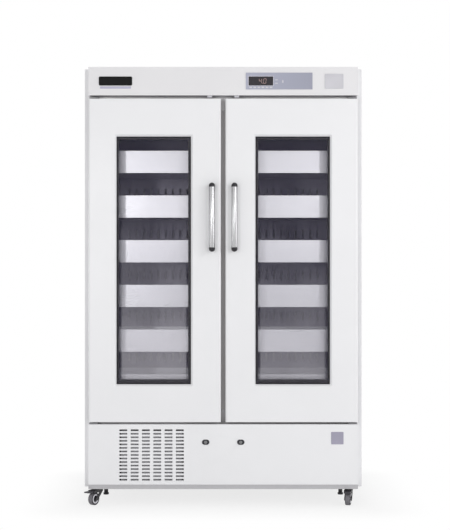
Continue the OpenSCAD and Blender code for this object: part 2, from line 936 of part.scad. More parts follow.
module evaporator() {
    coil_side = 180;
    coil_half = room_half - coil_side;
    coil_h = 110;
    coil_drop = 20;
    coil_gap = 12;
    coil_top = duct_fan_z - duct_fan_r - coil_drop;
    fins = 39;
    tubes = 4;
    bracket_w = 30;
    bracket_h = 10;
    bracket_x = coil_half - bracket_h;
    bracket_z = coil_top - coil_drop;
    motor_gap = 2;
    color(copper) {
        union()
            fin_coil(-coil_half, coil_half, duct_y + coil_gap, room_back - coil_gap,
                     coil_top - coil_h, coil_top, fins, tubes);
        both_sides()
            box([bracket_x - bracket_w, room_back - coil_gap, bracket_z - bracket_h],
                [bracket_x, room_back, bracket_z]);
    }
    color(dark_steel)
        union() {
            rod_y(motor_r, 0, duct_fan_z, duct_fan_y1 + motor_gap, room_back);
            rod_y(shaft_r, 0, duct_fan_z, duct_fan_y0, duct_fan_y1 + motor_gap + cut);
        }
}

module evaporator_fan() {
    duct_blades = 5;
    color(black_plastic)
        fan(0, duct_fan_z, duct_fan_r, duct_fan_y0, duct_fan_y1, duct_blades);
}

// Condensing unit

module condenser() {
    x0 = condenser_x - condenser_w / 2;
    x1 = condenser_x + condenser_w / 2;
    z0 = condenser_z - condenser_h / 2;
    z1 = condenser_z + condenser_h / 2;
    motor_gap = 3;
    motor_l = 46;
    post_half = 12;
    post_d = 8;
    post_y = fan_y1 + motor_gap + motor_l / 2;
    fins = 22;
    tubes = 6;
    coil_side = 12;
    color(dark_steel)
        union()
            fin_coil(x0 + coil_side, x1 - coil_side, condenser_y, condenser_y + condenser_d,
                     z0, z1, fins, tubes);
    color(dark_steel)
        difference() {
            union() {
                box([x0, condenser_y, floor_z], [x1, shroud_y + sheet, z1 + sheet]);
                box([condenser_x - post_half, post_y - post_d / 2, floor_z],
                    [condenser_x + post_half, post_y + post_d / 2, condenser_z]);
                rod_y(motor_r, condenser_x, condenser_z, fan_y1 + motor_gap,
                      fan_y1 + motor_gap + motor_l);
                rod_y(shaft_r, condenser_x, condenser_z, fan_y0, fan_y1 + motor_gap + cut);
                box([condenser_x - post_half, shroud_y, floor_z],
                    [condenser_x + post_half, post_y + post_d / 2, floor_z + tray_t]);
            }
            box([x0 + sheet, condenser_y - cut, floor_z - cut], [x1 - sheet, shroud_y, z1]);
            rod_y(fan_r + fan_ring, condenser_x, condenser_z, shroud_y - cut, shroud_y + sheet + cut);
        }
}

module condenser_fan() {
    blades = 6;
    color(black_plastic)
        fan(condenser_x, condenser_z, fan_r, fan_y0, fan_y1, blades);
}

module compressor() {
    foot_t = 4;
    grommet_r = 12;
    grommet_h = 16;
    pipe_r = 5;
    pipe_out = 30;
    pipe_reach = compressor_foot + pipe_out;
    wall_z = floor_z + grommet_h + foot_t;
    dome_drop = compressor_r / 2;
    foot_mid = compressor_foot - grommet_r;
    pipe_z = wall_z + compressor_h / 2;
    color(black_plastic)
        union() {
            translate([compressor_x, compressor_y, wall_z])
                rotate_extrude() {
                    rect([0, 0], [compressor_r, compressor_h]);
                    translate([0, compressor_h - dome_drop])
                        intersection() {
                            circle(sqrt(pow(compressor_r, 2) + pow(dome_drop, 2)));
                            rect([0, dome_drop], [compressor_r, 2 * compressor_r]);
                        }
                }
            box([compressor_x - compressor_foot, compressor_y - compressor_foot, wall_z - foot_t],
                [compressor_x + compressor_foot, compressor_y + compressor_foot, wall_z]);
            for (dx = [-1, 1], dy = [-1, 1])
                rod_z(grommet_r, compressor_x + dx * foot_mid, compressor_y + dy * foot_mid,
                      floor_z, wall_z);
            rod_x(pipe_r, compressor_y, pipe_z, compressor_x - pipe_reach, compressor_x);
            rod_y(pipe_r, compressor_x, pipe_z, compressor_y, compressor_y + pipe_reach);
        }
}

module drain_pan() {
    pan_w = 210;
    pan_d = 190;
    pan_h = 46;
    pan_gap = 45;
    pan_x1 = compressor_x - compressor_foot - pan_gap;
    pan_x0 = pan_x1 - pan_w;
    pan_y0 = compressor_y;
    pan_y1 = pan_y0 + pan_d;
    color(pale_grey)
        difference() {
            box([pan_x0, pan_y0, floor_z], [pan_x1, pan_y1, floor_z + pan_h]);
            box([pan_x0 + sheet, pan_y0 + sheet, floor_z + sheet],
                [pan_x1 - sheet, pan_y1 - sheet, floor_z + pan_h + cut]);
        }
}

// The inlet that a separate mains cord plugs into
module power_inlet() {
    flange = 8;
    flange_t = 3;
    depth = 30;
    well = 4;
    pin_w = 2;
    pin_h = 7;
    pin_step = 7;
    out_y = rear_y + sheet;
    color(black_plastic)
        union() {
            difference() {
                union() {
                    plate_y(out_y, out_y + flange_t)
                        translate([inlet_x, inlet_z])
                            square([inlet_w + 2 * flange, inlet_h + flange], center = true);
                    plate_y(rear_y - depth, out_y + cut)
                        translate([inlet_x, inlet_z])
                            square([inlet_w - 2 * gap, inlet_h - 2 * gap], center = true);
                }
                plate_y(rear_y - depth + well, out_y + flange_t + cut)
                    translate([inlet_x, inlet_z])
                        square([inlet_w - 2 * well, inlet_h - 2 * well], center = true);
            }
            for (pin = [-1, 0, 1])
                plate_y(rear_y - depth, rear_y - well)
                    translate([inlet_x + pin * pin_step, inlet_z])
                        square([pin_w, pin_h], center = true);
        }
}

// Feet and casters

module levelling_foot() {
    neck_share = 0.75;
    color(black_plastic)
        union() {
            rod_z(foot_r, -foot_x, foot_y, foot_z, foot_z + foot_h);
            rod_z(foot_r * neck_share, -foot_x, foot_y, foot_z + foot_h, base_z - gap);
            rod_z(stem_r, -foot_x, foot_y, foot_z, foot_z + stem_l);
        }
}

// Puts a caster that trails along +X at its place and turns it
module caster_at(x, y, turn) {
    translate([x, y, 0])
        rotate([0, 0, 180 + turn])
            children();
}

module caster_fork(braked) {
    inner = wheel_w / 2 + cheek_gap;
    disc_z = fork_top - fork_disc_t;
    bridge_t = 4;
    nose = 18;
    eye = 7;
    arm = 12;
    color(dark_steel)
        difference() {
            union() {
                rod_z(fork_disc_r, 0, 0, disc_z, fork_top);
                rod_z(king_r, 0, 0, disc_z, fork_top + king_l);
                box([-nose, -inner - cheek_t, disc_z - bridge_t], [nose, inner + cheek_t, disc_z]);
                for (y = [-inner - cheek_t, inner])
                    plate_y(y, y + cheek_t)
                        polygon([[-nose, disc_z], [-nose, disc_z - eye], [trail - eye, wheel_r - eye],
                                 [trail + eye, wheel_r - eye], [trail + eye, wheel_r],
                                 [eye, disc_z - arm], [trail + nose, disc_z - arm],
                                 [trail + nose, disc_z]]);
                rod_y(axle_r, trail, wheel_r, -inner - cheek_t, inner + cheek_t);
            }
            if (braked)
                rod_y(pedal_pin_r + run, pedal_x, pedal_z, -inner - cheek_t - cut,
                      inner + cheek_t + cut);
        }
}

module caster_wheel() {
    hub_r = 17;
    rim_r = 21.5;
    dish = 2;
    half = wheel_w / 2;
    round = 3;
    color(rubber_grey)
        translate([trail, 0, wheel_r])
            rotate([90, 0, 0])
                rotate_extrude()
                    difference() {
                        union() {
                            rect([axle_r + run, -half], [wheel_r - round, half]);
                            rect([axle_r + run, -half + round], [wheel_r, half - round]);
                            for (side = [-1, 1])
                                translate([wheel_r - round, side * (half - round)])
                                    circle(round);
                        }
                        for (side = [-1, 1])
                            translate([(hub_r + rim_r) / 2, side * half])
                                square([rim_r - hub_r, 2 * dish], center = true);
                    }
}

module caster_pedal() {
    inner = wheel_w / 2 + cheek_gap;
    half = inner - gap;
    boss_r = 5;
    plate_t = 5;
    plate_low = 2.5;
    wide = 14;
    shoe_ahead = 11;
    shoe_t = 4;
    shoe_side = 2;
    shoe_gap = 5;
    plate_ahead = 12;
    shoe_x0 = pedal_x + shoe_ahead;
    shoe_x1 = shoe_x0 + shoe_t;
    shoe_z = wheel_r + sqrt(pow(wheel_r, 2) - pow(shoe_x0 - trail, 2)) + shoe_gap;
    plate_x0 = pedal_x + plate_ahead;
    plate_z0 = pedal_z - plate_low;
    plate_z1 = plate_z0 + plate_t;
    color(panel_grey)
        union() {
            rod_y(boss_r, pedal_x, pedal_z, -half, half);
            rod_y(pedal_pin_r, pedal_x, pedal_z, -inner - cheek_t, inner + cheek_t);
            box([pedal_x, -half, plate_z0], [plate_x0, half, plate_z1]);
            box([plate_x0, -wide, plate_z0], [pedal_reach, wide, plate_z1]);
            box([shoe_x0, shoe_side - half, shoe_z], [shoe_x1, half - shoe_side, plate_z1]);
        }
}

module front_left() {
    caster_at(-caster_x, front_caster_y, turn_front_left)
        children();
}

module front_right() {
    caster_at(caster_x, front_caster_y, turn_front_right)
        children();
}

module rear_left() {
    caster_at(-caster_x, rear_caster_y, turn_rear)
        children();
}

module rear_right() {
    caster_at(caster_x, rear_caster_y, turn_rear)
        children();
}

module right_side() {
    mirror([1, 0, 0])
        children();
}

outer_shell();
back_panel();
foam_insulation();
inner_liner();
centre_mullion();
base_tray();
lower_panel();
header_panel();
control_panel();
display_lens();
door_switches();
hinge_plates();
lock_housings();
drawer_rails();
air_duct();
evaporator();
evaporator_fan();
condenser();
condenser_fan();
compressor();
drain_pan();
power_inlet();
door_skin();  // left_door_skin
door_core();  // left_door_core
door_glass();  // left_door_glass
door_border();  // left_door_border
door_seal();  // left_door_seal
door_handle();  // left_door_handle
right_side() door_skin();  // right_door_skin
right_side() door_core();  // right_door_core
right_side() door_glass();  // right_door_glass
right_side() door_border();  // right_door_border
right_side() door_seal();  // right_door_seal
right_side() door_handle();  // right_door_handle
drawer(1);  // left_drawer_1
drawer(2);  // left_drawer_2
drawer(3);  // left_drawer_3
drawer(4);  // left_drawer_4
drawer(5);  // left_drawer_5
drawer(6);  // left_drawer_6
right_side() drawer(1);  // right_drawer_1
right_side() drawer(2);  // right_drawer_2
right_side() drawer(3);  // right_drawer_3
right_side() drawer(4);  // right_drawer_4
right_side() drawer(5);  // right_drawer_5
right_side() drawer(6);  // right_drawer_6
lock_plug();  // left_lock_plug
right_side() lock_plug();  // right_lock_plug
levelling_foot();  // left_levelling_foot
right_side() levelling_foot();  // right_levelling_foot
front_left() caster_fork(true);  // front_left_fork
front_left() caster_wheel();  // front_left_wheel
front_left() caster_pedal();  // front_left_pedal
front_right() caster_fork(true);  // front_right_fork
front_right() caster_wheel();  // front_right_wheel
front_right() caster_pedal();  // front_right_pedal
rear_left() caster_fork(false);  // rear_left_fork
rear_left() caster_wheel();  // rear_left_wheel
rear_right() caster_fork(false);  // rear_right_fork
rear_right() caster_wheel();  // rear_right_wheel
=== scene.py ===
"""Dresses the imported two-door blood bank refrigerator: finishes for its CAD nodes, the fittings of
its front, doors, back and casters, and the studio that it stands in.
Metres, +Z up, the front faces -Y, the origin lies on the floor under the middle."""

import json
import math
from contextlib import contextmanager

import bmesh
import bpy
from bpy.props import FloatProperty, FloatVectorProperty, IntProperty, PointerProperty
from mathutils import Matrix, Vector


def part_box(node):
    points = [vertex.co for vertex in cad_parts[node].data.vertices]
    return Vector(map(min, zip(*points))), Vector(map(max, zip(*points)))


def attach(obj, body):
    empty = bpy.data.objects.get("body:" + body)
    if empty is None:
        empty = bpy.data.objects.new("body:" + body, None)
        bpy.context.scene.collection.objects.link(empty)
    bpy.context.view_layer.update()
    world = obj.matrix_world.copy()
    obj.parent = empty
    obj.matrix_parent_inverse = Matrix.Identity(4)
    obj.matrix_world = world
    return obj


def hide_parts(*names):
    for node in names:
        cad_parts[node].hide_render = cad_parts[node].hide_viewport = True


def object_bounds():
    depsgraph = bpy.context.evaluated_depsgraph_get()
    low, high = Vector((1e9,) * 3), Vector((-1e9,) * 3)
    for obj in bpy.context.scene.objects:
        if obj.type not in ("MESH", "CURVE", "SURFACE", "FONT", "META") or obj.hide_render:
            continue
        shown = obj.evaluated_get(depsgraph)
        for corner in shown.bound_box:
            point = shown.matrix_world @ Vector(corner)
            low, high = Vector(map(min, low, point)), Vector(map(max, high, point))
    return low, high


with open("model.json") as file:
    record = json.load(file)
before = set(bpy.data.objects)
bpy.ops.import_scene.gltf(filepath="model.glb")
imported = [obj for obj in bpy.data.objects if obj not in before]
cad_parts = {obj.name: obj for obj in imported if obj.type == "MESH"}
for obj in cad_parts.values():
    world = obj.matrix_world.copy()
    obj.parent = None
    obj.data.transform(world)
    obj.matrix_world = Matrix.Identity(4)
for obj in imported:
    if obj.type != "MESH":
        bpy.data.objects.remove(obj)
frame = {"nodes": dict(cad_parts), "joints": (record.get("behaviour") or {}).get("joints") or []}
cad_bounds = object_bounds()

bl_info = {
    "name": "Blood bank refrigerator",
    "version": (1, 0, 0),
    "blender": (4, 5, 0),
    "location": "3D View > Sidebar > Refrigerator",
    "description": "Finishes, fittings and studio for the packed two-door blood bank refrigerator",
    "category": "Object",
}

SIDES = ("left", "right")
ROWS = range(1, 7)
CASTERS = ("front_left", "front_right", "rear_left", "rear_right")
DOOR_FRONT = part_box("left_door_skin")[0].y
HEADER_LOW, HEADER_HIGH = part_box("header_panel")
CONTROL_LOW, CONTROL_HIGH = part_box("control_panel")
DISPLAY_LOW, DISPLAY_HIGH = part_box("display_lens")
BACK_LOW, BACK_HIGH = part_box("back_panel")
JOINTS = {joint["name"]: joint for joint in frame["joints"]}

ALONG = 0.99  # cosine from which a direction counts as along an axis
ACROSS = 0.01  # cosine up to which a direction counts as across an axis
TOUCH = 1e-6  # distance within which points count as one
SMOOTH_ANGLE = math.radians(40)  # edges sharper than this stay sharp, or get a bevel
ROUND = 40  # sides of a handle's round parts

# A lamp's name, place, aim, width and height, the power that it takes and its share of that power
LAMPS = (
    ("key", (3.9, -4.0, 3.0), (0, -0.35, 1.0), 1.6, 1.6, "key_power", 1),
    ("left_strip", (-1.55, -5.0, 1.42), (0, -0.3, 1.1), 0.28, 1.2, "strip_power", 1),
    ("right_strip", (1.80, -5.0, 1.92), (0, -0.3, 1.1), 0.28, 0.9, "strip_power", 0.9),
    ("right_side", (5.0, -1.6, 1.2), (0.6, -0.3, 1.1), 1.0, 2.0, "side_power", 1),
    ("left_side", (-5.0, -1.6, 1.0), (-0.6, -0.3, 0.9), 1.0, 2.0, "side_power", 0.5),
    ("back", (-2.6, 3.6, 1.0), (0, 0.3, 1.0), 1.6, 1.6, "back_power", 1),
)

# One half of each ring of a caster wheel, in shares of the wheel's radius and half width
WHEEL_RINGS = {
    "tread": [(0.93, 0.78), (0.985, 0.80), (1.0, 0.70), (1.0, 0.25)],
    "tyre": [(0.74, 0.80), (0.76, 0.88), (0.80, 0.95), (0.90, 0.97), (0.955, 0.90), (0.975, 0.78)],
    "rim": [(0.50, 0.60), (0.51, 0.86), (0.54, 0.93), (0.71, 0.93), (0.74, 0.86), (0.755, 0.70)],
    "hub": [(0.165, 0.94), (0.26, 0.98), (0.31, 0.90), (0.33, 0.62), (0.505, 0.55)],
}

# A screw head's profile, as shares of its radius and heights, ending in the recess
SCREW_RINGS = (
    (0.98, 0), (1, 0.0006), (0.9, 0.0014), (0.66, 0.0020),
    (0.42, 0.0022), (0.34, 0.0021), (0.24, 0.0010),
)

# A door seal's section, as distances in from its outer edge and shares of its depth
SEAL_STEPS = (
    (0, 0), (0.0002, 0.26), (0.0024, 0.32), (0.0040, 0.44), (0.0044, 0.80), (0.0060, 0.98),
    (0.0078, 1), (0.0090, 0.93), (0.0102, 1), (0.0120, 0.98), (0.0136, 0.80), (0.0140, 0.44),
    (0.0156, 0.32), (0.0178, 0.26), (0.0180, 0),
)

# The segments that are lit in each digit
LIT = {"4": "bcfg", "0": "abcdef"}


def tone(red, green, blue):
    """A colour written from 0 to 255 as on a screen, in the linear values that shaders use."""
    shares = (red / 255, green / 255, blue / 255)
    return tuple(s / 12.92 if s <= 0.04045 else ((s + 0.055) / 1.055) ** 2.4 for s in shares)


def colour(name, description, default):
    """A colour that the user can change."""
    return FloatVectorProperty(
        name=name, description=description, default=default, subtype="COLOR", min=0, max=1
    )


def number(name, description, default, **limits):
    """A number that the user can change."""
    return FloatProperty(name=name, description=description, default=default, **limits)


def length(name, description, default):
    """A length in metres."""
    return number(name, description, default, min=0, unit="LENGTH")


def position(name, description, default):
    """A place along an axis, in metres."""
    return number(name, description, default, unit="LENGTH")


def watts(name, description, default):
    """A lamp's power."""
    return number(name, description, default, min=0, unit="POWER")


class FridgeColours(bpy.types.PropertyGroup):
    """Colours of the finishes"""

    white_paint: colour(
        "White paint", "Powder coat on the shell, doors and panels", tone(238, 238, 240)
    )
    # painted shade: the header's white is a little greyer than the doors' because the header takes
    # less light, though the paint is the same
    shaded_header_paint: colour("Header paint", "Powder coat on the header", tone(230, 229, 231))
    stainless: colour("Stainless steel", "Drawers", (0.67, 0.675, 0.70))
    liner: colour("Liner steel", "Liner", (0.56, 0.55, 0.56))
    duct: colour("Duct steel", "Rails and air duct", (0.37, 0.36, 0.41))
    handle: colour("Handle bar", "Satin steel of the handle bars", (0.46, 0.46, 0.47))
    galvanised: colour("Galvanised sheet", "Back panel", (0.50, 0.51, 0.53))
    plinth: colour("Plinth grey", "Base tray and lip under the lower panel", tone(186, 185, 188))
    hinge_steel: colour("Hinge steel", "Hinge plates", tone(158, 157, 160))
    mullion: colour("Mullion grey", "Post between the doors", tone(236, 233, 232))
    fins: colour("Condenser fins", "Coated aluminium of the condenser", tone(206, 206, 210))
    panel_grey: colour("Control panel", "Lavender grey of the control panel", tone(173, 175, 192))
    display: colour("Display", "Dark lens of the display", tone(33, 29, 37))
    digits: colour("Digits", "Glow of the display's digits", tone(150, 125, 124))
    pale_plastic: colour("Pale plastic", "Switches, covers and door cores", tone(208, 207, 213))
    black_plastic: colour("Black plastic", "Glass border, handle ends and feet", tone(32, 30, 36))
    gasket: colour("Gasket grey", "Magnetic seals of the doors", tone(120, 120, 124))
    glass: colour("Glass", "Tint of light that passes one face of a pane", (0.997, 0.995, 0.998))
    # painted light: the pale veil on the lower panes stands in for the lit interior behind them
    painted_veil: colour("Painted glass veil", "Painted light, a pale veil towards the foot of the panes", (0.74, 0.72, 0.80))
    # painted light and shade: one rubber tyre in two tones, the tread lighter where light falls on
    # it and the sides darker where they are in shade
    lit_caster_tread: colour("Caster tread", "Grey tread of the caster wheels", tone(122, 120, 125))
    shaded_caster_tyre: colour("Caster tyre", "Dark sides of the caster wheels", tone(62, 60, 65))
    caster_fork: colour("Caster fork", "Dark forks and pivots of the casters", tone(46, 44, 48))


class FridgeSizes(bpy.types.PropertyGroup):
    """Sizes of the fittings"""

    edge: length("Sheet edge", "Softened edge on bent sheet", 0.0006)
    name_plate_x: position("Name plate place", "Middle of the blank name plate", -0.479)
    name_plate_w: length("Name plate width", "Width of the blank name plate", 0.148)
    name_plate_h: length("Name plate height", "Height of the blank name plate", 0.040)
    cover_x: position("Service cover place", "Middle of the square service cover", 0.4935)
    cover_w: length("Service cover width", "Width of the square service cover", 0.083)
    cover_h: length("Service cover height", "Height of the square service cover", 0.066)
    rating_x: position("Rating plate place", "Middle of the blank rating plate", 0.5075)
    rating_z: length("Rating plate height", "Height of the blank rating plate's middle", 0.303)
    rating_w: length("Rating plate size", "Width and height of the blank rating plate", 0.055)
    digit_h: length("Digit height", "Height of a digit in the display", 0.021)
    wheel_w: length("Caster width", "Width of a caster wheel", 0.024)
    screw_r: length("Screw head", "Radius of the back panel's screw heads", 0.0042)
    back_screws: IntProperty(
        name="Back screws", description="Screws up one side of the back panel", default=8, min=2
    )


class FridgeStudio(bpy.types.PropertyGroup):
    """Camera and light"""

    camera_x: position("Camera side", "Camera's place across", 0.008)
    camera_z: length("Camera height", "Camera's height above the floor", 1.073)
    distance: length("Camera distance", "Distance from the camera to the doors", 5.5)
    lens: number("Lens", "Focal length of the camera", 84, min=1, unit="CAMERA")
    fill: number("Fill", "Strength of the even light all round", 0.59, min=0)
    key_power: watts("Key", "Power of the soft lamp on the right", 38)
    strip_power: watts("Strips", "Power of the left strip lamp, a little more than the right's", 27)
    side_power: watts("Sides", "Power of the lamp on the right side, twice the left's", 36)
    back_power: watts("Back", "Power of the soft lamp behind", 40)
    floor: colour("Floor", "Pale floor under the refrigerator", (0.90, 0.90, 0.90))
    floor_white: number(
        "Floor white", "Share of plain white in the floor at its darkest", 0.78, min=0, max=1
    )


# Modelling

def only(piece):
    """Selects one piece and makes it the active one."""
    bpy.ops.object.select_all(action="DESELECT")
    piece.select_set(True)
    bpy.context.view_layer.objects.active = piece


@contextmanager
def edit(piece):
    """Edit mode on one piece, with nothing selected at first."""
    only(piece)
    bpy.ops.object.mode_set(mode="EDIT")
    bpy.ops.mesh.select_all(action="DESELECT")
    yield
    bpy.ops.object.mode_set(mode="OBJECT")


def settle(piece):
    """Puts the piece's place, turn and size into its mesh."""
    only(piece)
    bpy.ops.object.transform_apply()
    return piece


def outwards(piece):
    """Turns the faces of a closed piece outwards."""
    with edit(piece):
        bpy.ops.mesh.select_all(action="SELECT")
        bpy.ops.mesh.remove_doubles(threshold=TOUCH)
        bpy.ops.mesh.normals_make_consistent()
    return piece


def pick_faces(piece, test):
    """Selects the faces whose middle and normal pass the test."""
    bpy.ops.mesh.select_mode(type="FACE")
    mesh = bmesh.from_edit_mesh(piece.data)
    for face in mesh.faces:
        face.select_set(bool(test(face.calc_center_median(), face.normal)))
    mesh.select_flush_mode()
    bmesh.update_edit_mesh(piece.data)


def pick_edges(piece, test):
    """Selects the edges whose middle and direction pass the test."""
    bpy.ops.mesh.select_mode(type="EDGE")
    mesh = bmesh.from_edit_mesh(piece.data)
    for edge in mesh.edges:
        edge.select_set(False)
    for edge in mesh.edges:
        first, second = (corner.co for corner in edge.verts)
        if test((first + second) / 2, (second - first).normalized()):
            edge.select_set(True)
    mesh.select_flush_mode()
    bmesh.update_edit_mesh(piece.data)


def added(name):
    """The shape just added, under its name."""
    piece = bpy.context.active_object
    piece.name = piece.data.name = name
    return piece


def block(name, low, high):
    """A box between two corners, as a start."""
    low, high = Vector(low), Vector(high)
    bpy.ops.mesh.primitive_cube_add(size=1, location=(low + high) / 2)
    piece = added(name)
    piece.scale = high - low
    return settle(piece)


def plate(name, middle_x, middle_z, w, h, back, thick, corner, edge):
    """A plate on a front face, with round corners and a softened front edge."""
    low = (middle_x - w / 2, back - thick, middle_z - h / 2)
    high = (middle_x + w / 2, back, middle_z + h / 2)
    piece = block(name, low, high)
    with edit(piece):
        pick_edges(piece, lambda middle, way: abs(way.y) > ALONG)
        bpy.ops.mesh.bevel(offset=corner, segments=6)
        pick_edges(piece, lambda middle, way: middle.y < low[1] + TOUCH and abs(way.y) < ACROSS)
        bpy.ops.mesh.bevel(offset=edge, segments=3)
    return piece


def sink_front(piece, rim, depth):
    """Insets the plate's front face and sets it back."""
    front = min(corner.co.y for corner in piece.data.vertices)
    with edit(piece):
        pick_faces(piece, lambda middle, normal: normal.y < -ALONG and middle.y < front + TOUCH)
        bpy.ops.mesh.inset(thickness=rim)
        bpy.ops.mesh.extrude_region_move(TRANSFORM_OT_translate={"value": (0, depth, 0)})
    return outwards(piece)


def turned(name, rings, steps=32, hollow=False):
    """A shape turned about Z from (radius, height) rings, solid or closed into a hollow ring."""
    radius, height = rings[0]
    fill = "NOTHING" if hollow else "NGON"
    bpy.ops.mesh.primitive_circle_add(
        vertices=steps, radius=radius, fill_type=fill, location=(0, 0, height)
    )
    piece = settle(added(name))
    with edit(piece):
        bpy.ops.mesh.select_all(action="SELECT")
        for wide, high in list(rings[1:]) + ([rings[0]] if hollow else []):
            rise = (0, 0, high - height)
            bpy.ops.mesh.extrude_region_move(TRANSFORM_OT_translate={"value": rise})
            bpy.ops.transform.resize(
                value=(wide / radius, wide / radius, 1), center_override=(0, 0, high)
            )
            radius, height = wide, high
    return outwards(piece)


def put(piece, place, way=(0, 0, 1)):
    """Turns a piece that stands along Z to point another way, and moves it to its place."""
    piece.rotation_mode = "QUATERNION"
    piece.rotation_quaternion = Vector((0, 0, 1)).rotation_difference(Vector(way))
    piece.location = place
    return settle(piece)


def frame_ring(name, low, high, steps):
    """A rectangular ring that faces -Y, from corners and (inset, depth) steps, closed behind."""
    middle = (Vector(low) + Vector(high)) / 2
    inset, depth = steps[0]
    bpy.ops.mesh.primitive_plane_add(
        size=1, location=(middle.x, depth, middle.z), rotation=(math.pi / 2, 0, 0)
    )
    piece = added(name)
    piece.scale = (high[0] - low[0] - 2 * inset, high[2] - low[2] - 2 * inset, 1)
    settle(piece)
    with edit(piece):
        bpy.ops.mesh.select_all(action="SELECT")
        for further, deep in steps[1:]:
            if further > inset:
                bpy.ops.mesh.inset(thickness=further - inset)
            else:
                bpy.ops.mesh.extrude_region_move(TRANSFORM_OT_translate={"value": (0, 0, 0)})
            bpy.ops.transform.translate(value=(0, deep - depth, 0))
            inset, depth = further, deep
        bpy.ops.mesh.delete(type="FACE")
        bpy.ops.mesh.select_all(action="SELECT")
        bpy.ops.mesh.remove_doubles(threshold=TOUCH)
        bpy.ops.mesh.select_all(action="DESELECT")
        bpy.ops.mesh.select_mode(type="EDGE")
        bpy.ops.mesh.select_non_manifold()
        bpy.ops.mesh.bridge_edge_loops()
    return outwards(piece)


def copy_of(piece, name, shift):
    """A copy with its own mesh, moved."""
    only(piece)
    bpy.ops.object.duplicate()
    twin = added(name)
    twin.location = Vector(twin.location) + Vector(shift)
    return settle(twin)


def mirrored(piece, name):
    """A copy on the other side of the centre line."""
    twin = copy_of(piece, name, (0, 0, 0))
    twin.scale = (-1, 1, 1)
    return outwards(settle(twin))


def joined(name, pieces):
    """Several shapes as one piece."""
    only(pieces[0])
    for piece in pieces[1:]:
        piece.select_set(True)
    bpy.ops.object.join()
    pieces[0].name = pieces[0].data.name = name
    return pieces[0]


def fit(piece, body, finish, stands_for=()):
    """Gives a piece its finish and lets it ride on its body."""
    piece.data.materials.clear()
    piece.data.materials.append(finish)
    only(piece)
    bpy.ops.object.shade_smooth_by_angle(angle=SMOOTH_ANGLE)
    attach(piece, body)
    if stands_for:
        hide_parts(*stands_for)
    return piece


def coat(nodes, finish, edge=0):
    """Gives CAD nodes their finish, and live modifiers that soften their sharp edges."""
    for name in nodes:
        node = frame["nodes"][name]
        node.data.materials.clear()
        node.data.materials.append(finish)
        if edge:
            weld = node.modifiers.new("merge corners", "WELD")
            weld.merge_threshold = 0.00001
            soft = node.modifiers.new("soften edges", "BEVEL")
            soft.width = edge
            soft.segments = 2
            soft.limit_method = "ANGLE"
            soft.angle_limit = SMOOTH_ANGLE


# Finishes

def start_finish(name):
    """A material with its shader and the piece's own coordinates."""
    finish = bpy.data.materials.new(name)
    finish.use_nodes = True
    nodes = finish.node_tree.nodes
    place = nodes.new("ShaderNodeTexCoord")
    return finish, nodes["Principled BSDF"], place.outputs["Object"]


def wire(finish, source, target):
    """Links one socket to another."""
    finish.node_tree.links.new(source, target)


def noise(finish, place, scale, detail=2, stretch=(1, 1, 1)):
    """Noise on the piece's own coordinates, stretched along an axis that is scaled down."""
    nodes = finish.node_tree.nodes
    mapping = nodes.new("ShaderNodeMapping")
    mapping.inputs["Scale"].default_value = stretch
    wire(finish, place, mapping.inputs["Vector"])
    grain = nodes.new("ShaderNodeTexNoise")
    grain.inputs["Scale"].default_value = scale
    grain.inputs["Detail"].default_value = detail
    wire(finish, mapping.outputs["Vector"], grain.inputs["Vector"])
    return grain.outputs["Fac"]


def spread(finish, source, low, high, start=0.3, end=0.7):
    """Maps noise to a range of values."""
    span = finish.node_tree.nodes.new("ShaderNodeMapRange")
    span.inputs["From Min"].default_value = start
    span.inputs["From Max"].default_value = end
    span.inputs["To Min"].default_value = low
    span.inputs["To Max"].default_value = high
    wire(finish, source, span.inputs["Value"])
    return span.outputs["Result"]


def shade(finish, source, dark, light, start=0.3, end=0.7):
    """Maps noise to a range of colours."""
    ramp = finish.node_tree.nodes.new("ShaderNodeValToRGB")
    first, last = ramp.color_ramp.elements
    first.position, first.color = start, (*dark, 1)
    last.position, last.color = end, (*light, 1)
    wire(finish, source, ramp.inputs["Fac"])
    return ramp.outputs["Color"]


def combine(finish, operation, *values):
    """A sum, product or the like of sockets and plain numbers."""
    step = finish.node_tree.nodes.new("ShaderNodeMath")
    step.operation = operation
    for value, target in zip(values, step.inputs):
        if isinstance(value, (int, float)):
            target.default_value = value
        else:
            wire(finish, value, target)
    return step.outputs["Value"]


def vector_steps(finish, source, steps):
    """Passes a vector through a row of vector operations."""
    for operation, value in steps:
        step = finish.node_tree.nodes.new("ShaderNodeVectorMath")
        step.operation = operation
        wire(finish, source, step.inputs[0])
        if value:
            step.inputs[1].default_value = value
        source = step.outputs["Value" if operation in ("LENGTH", "DOT_PRODUCT") else "Vector"]
    return source


def seen_directly(finish):
    """1 where a ray comes from the camera, a mirror or glass, and 0 elsewhere."""
    rays = finish.node_tree.nodes.new("ShaderNodeLightPath").outputs
    mirrored_rays = combine(finish, "MAXIMUM", rays["Is Glossy Ray"], rays["Is Transmission Ray"])
    return combine(finish, "MAXIMUM", rays["Is Camera Ray"], mirrored_rays)


def raise_surface(finish, shader, source, distance):
    """Bumps the surface by noise, over a height in metres."""
    bump = finish.node_tree.nodes.new("ShaderNodeBump")
    bump.inputs["Distance"].default_value = distance
    wire(finish, source, bump.inputs["Height"])
    wire(finish, bump.outputs["Normal"], shader.inputs["Normal"])


def dress(finish, shader, base, gloss):
    """Links a colour and a roughness to the shader."""
    wire(finish, base, shader.inputs["Base Color"])
    wire(finish, gloss, shader.inputs["Roughness"])


def darker(base, share):
    """A share of a colour, which is lighter than it where the share is above 1."""
    return tuple(value * share for value in base)


def powder_coat(name, base, rough=0.36, peel=0.00005, soil=0.97):
    """Sprayed paint: a fine orange peel, a faint unevenness of tone and of gloss."""
    finish, shader, place = start_finish(name)
    cloud = noise(finish, place, scale=2.6, detail=4)
    gloss = spread(finish, noise(finish, place, scale=38, detail=3), rough - 0.05, rough + 0.06)
    dress(finish, shader, shade(finish, cloud, darker(base, soil), base), gloss)
    shader.inputs["Specular IOR Level"].default_value = 0.45
    raise_surface(finish, shader, noise(finish, place, scale=520, detail=1), peel)
    return finish


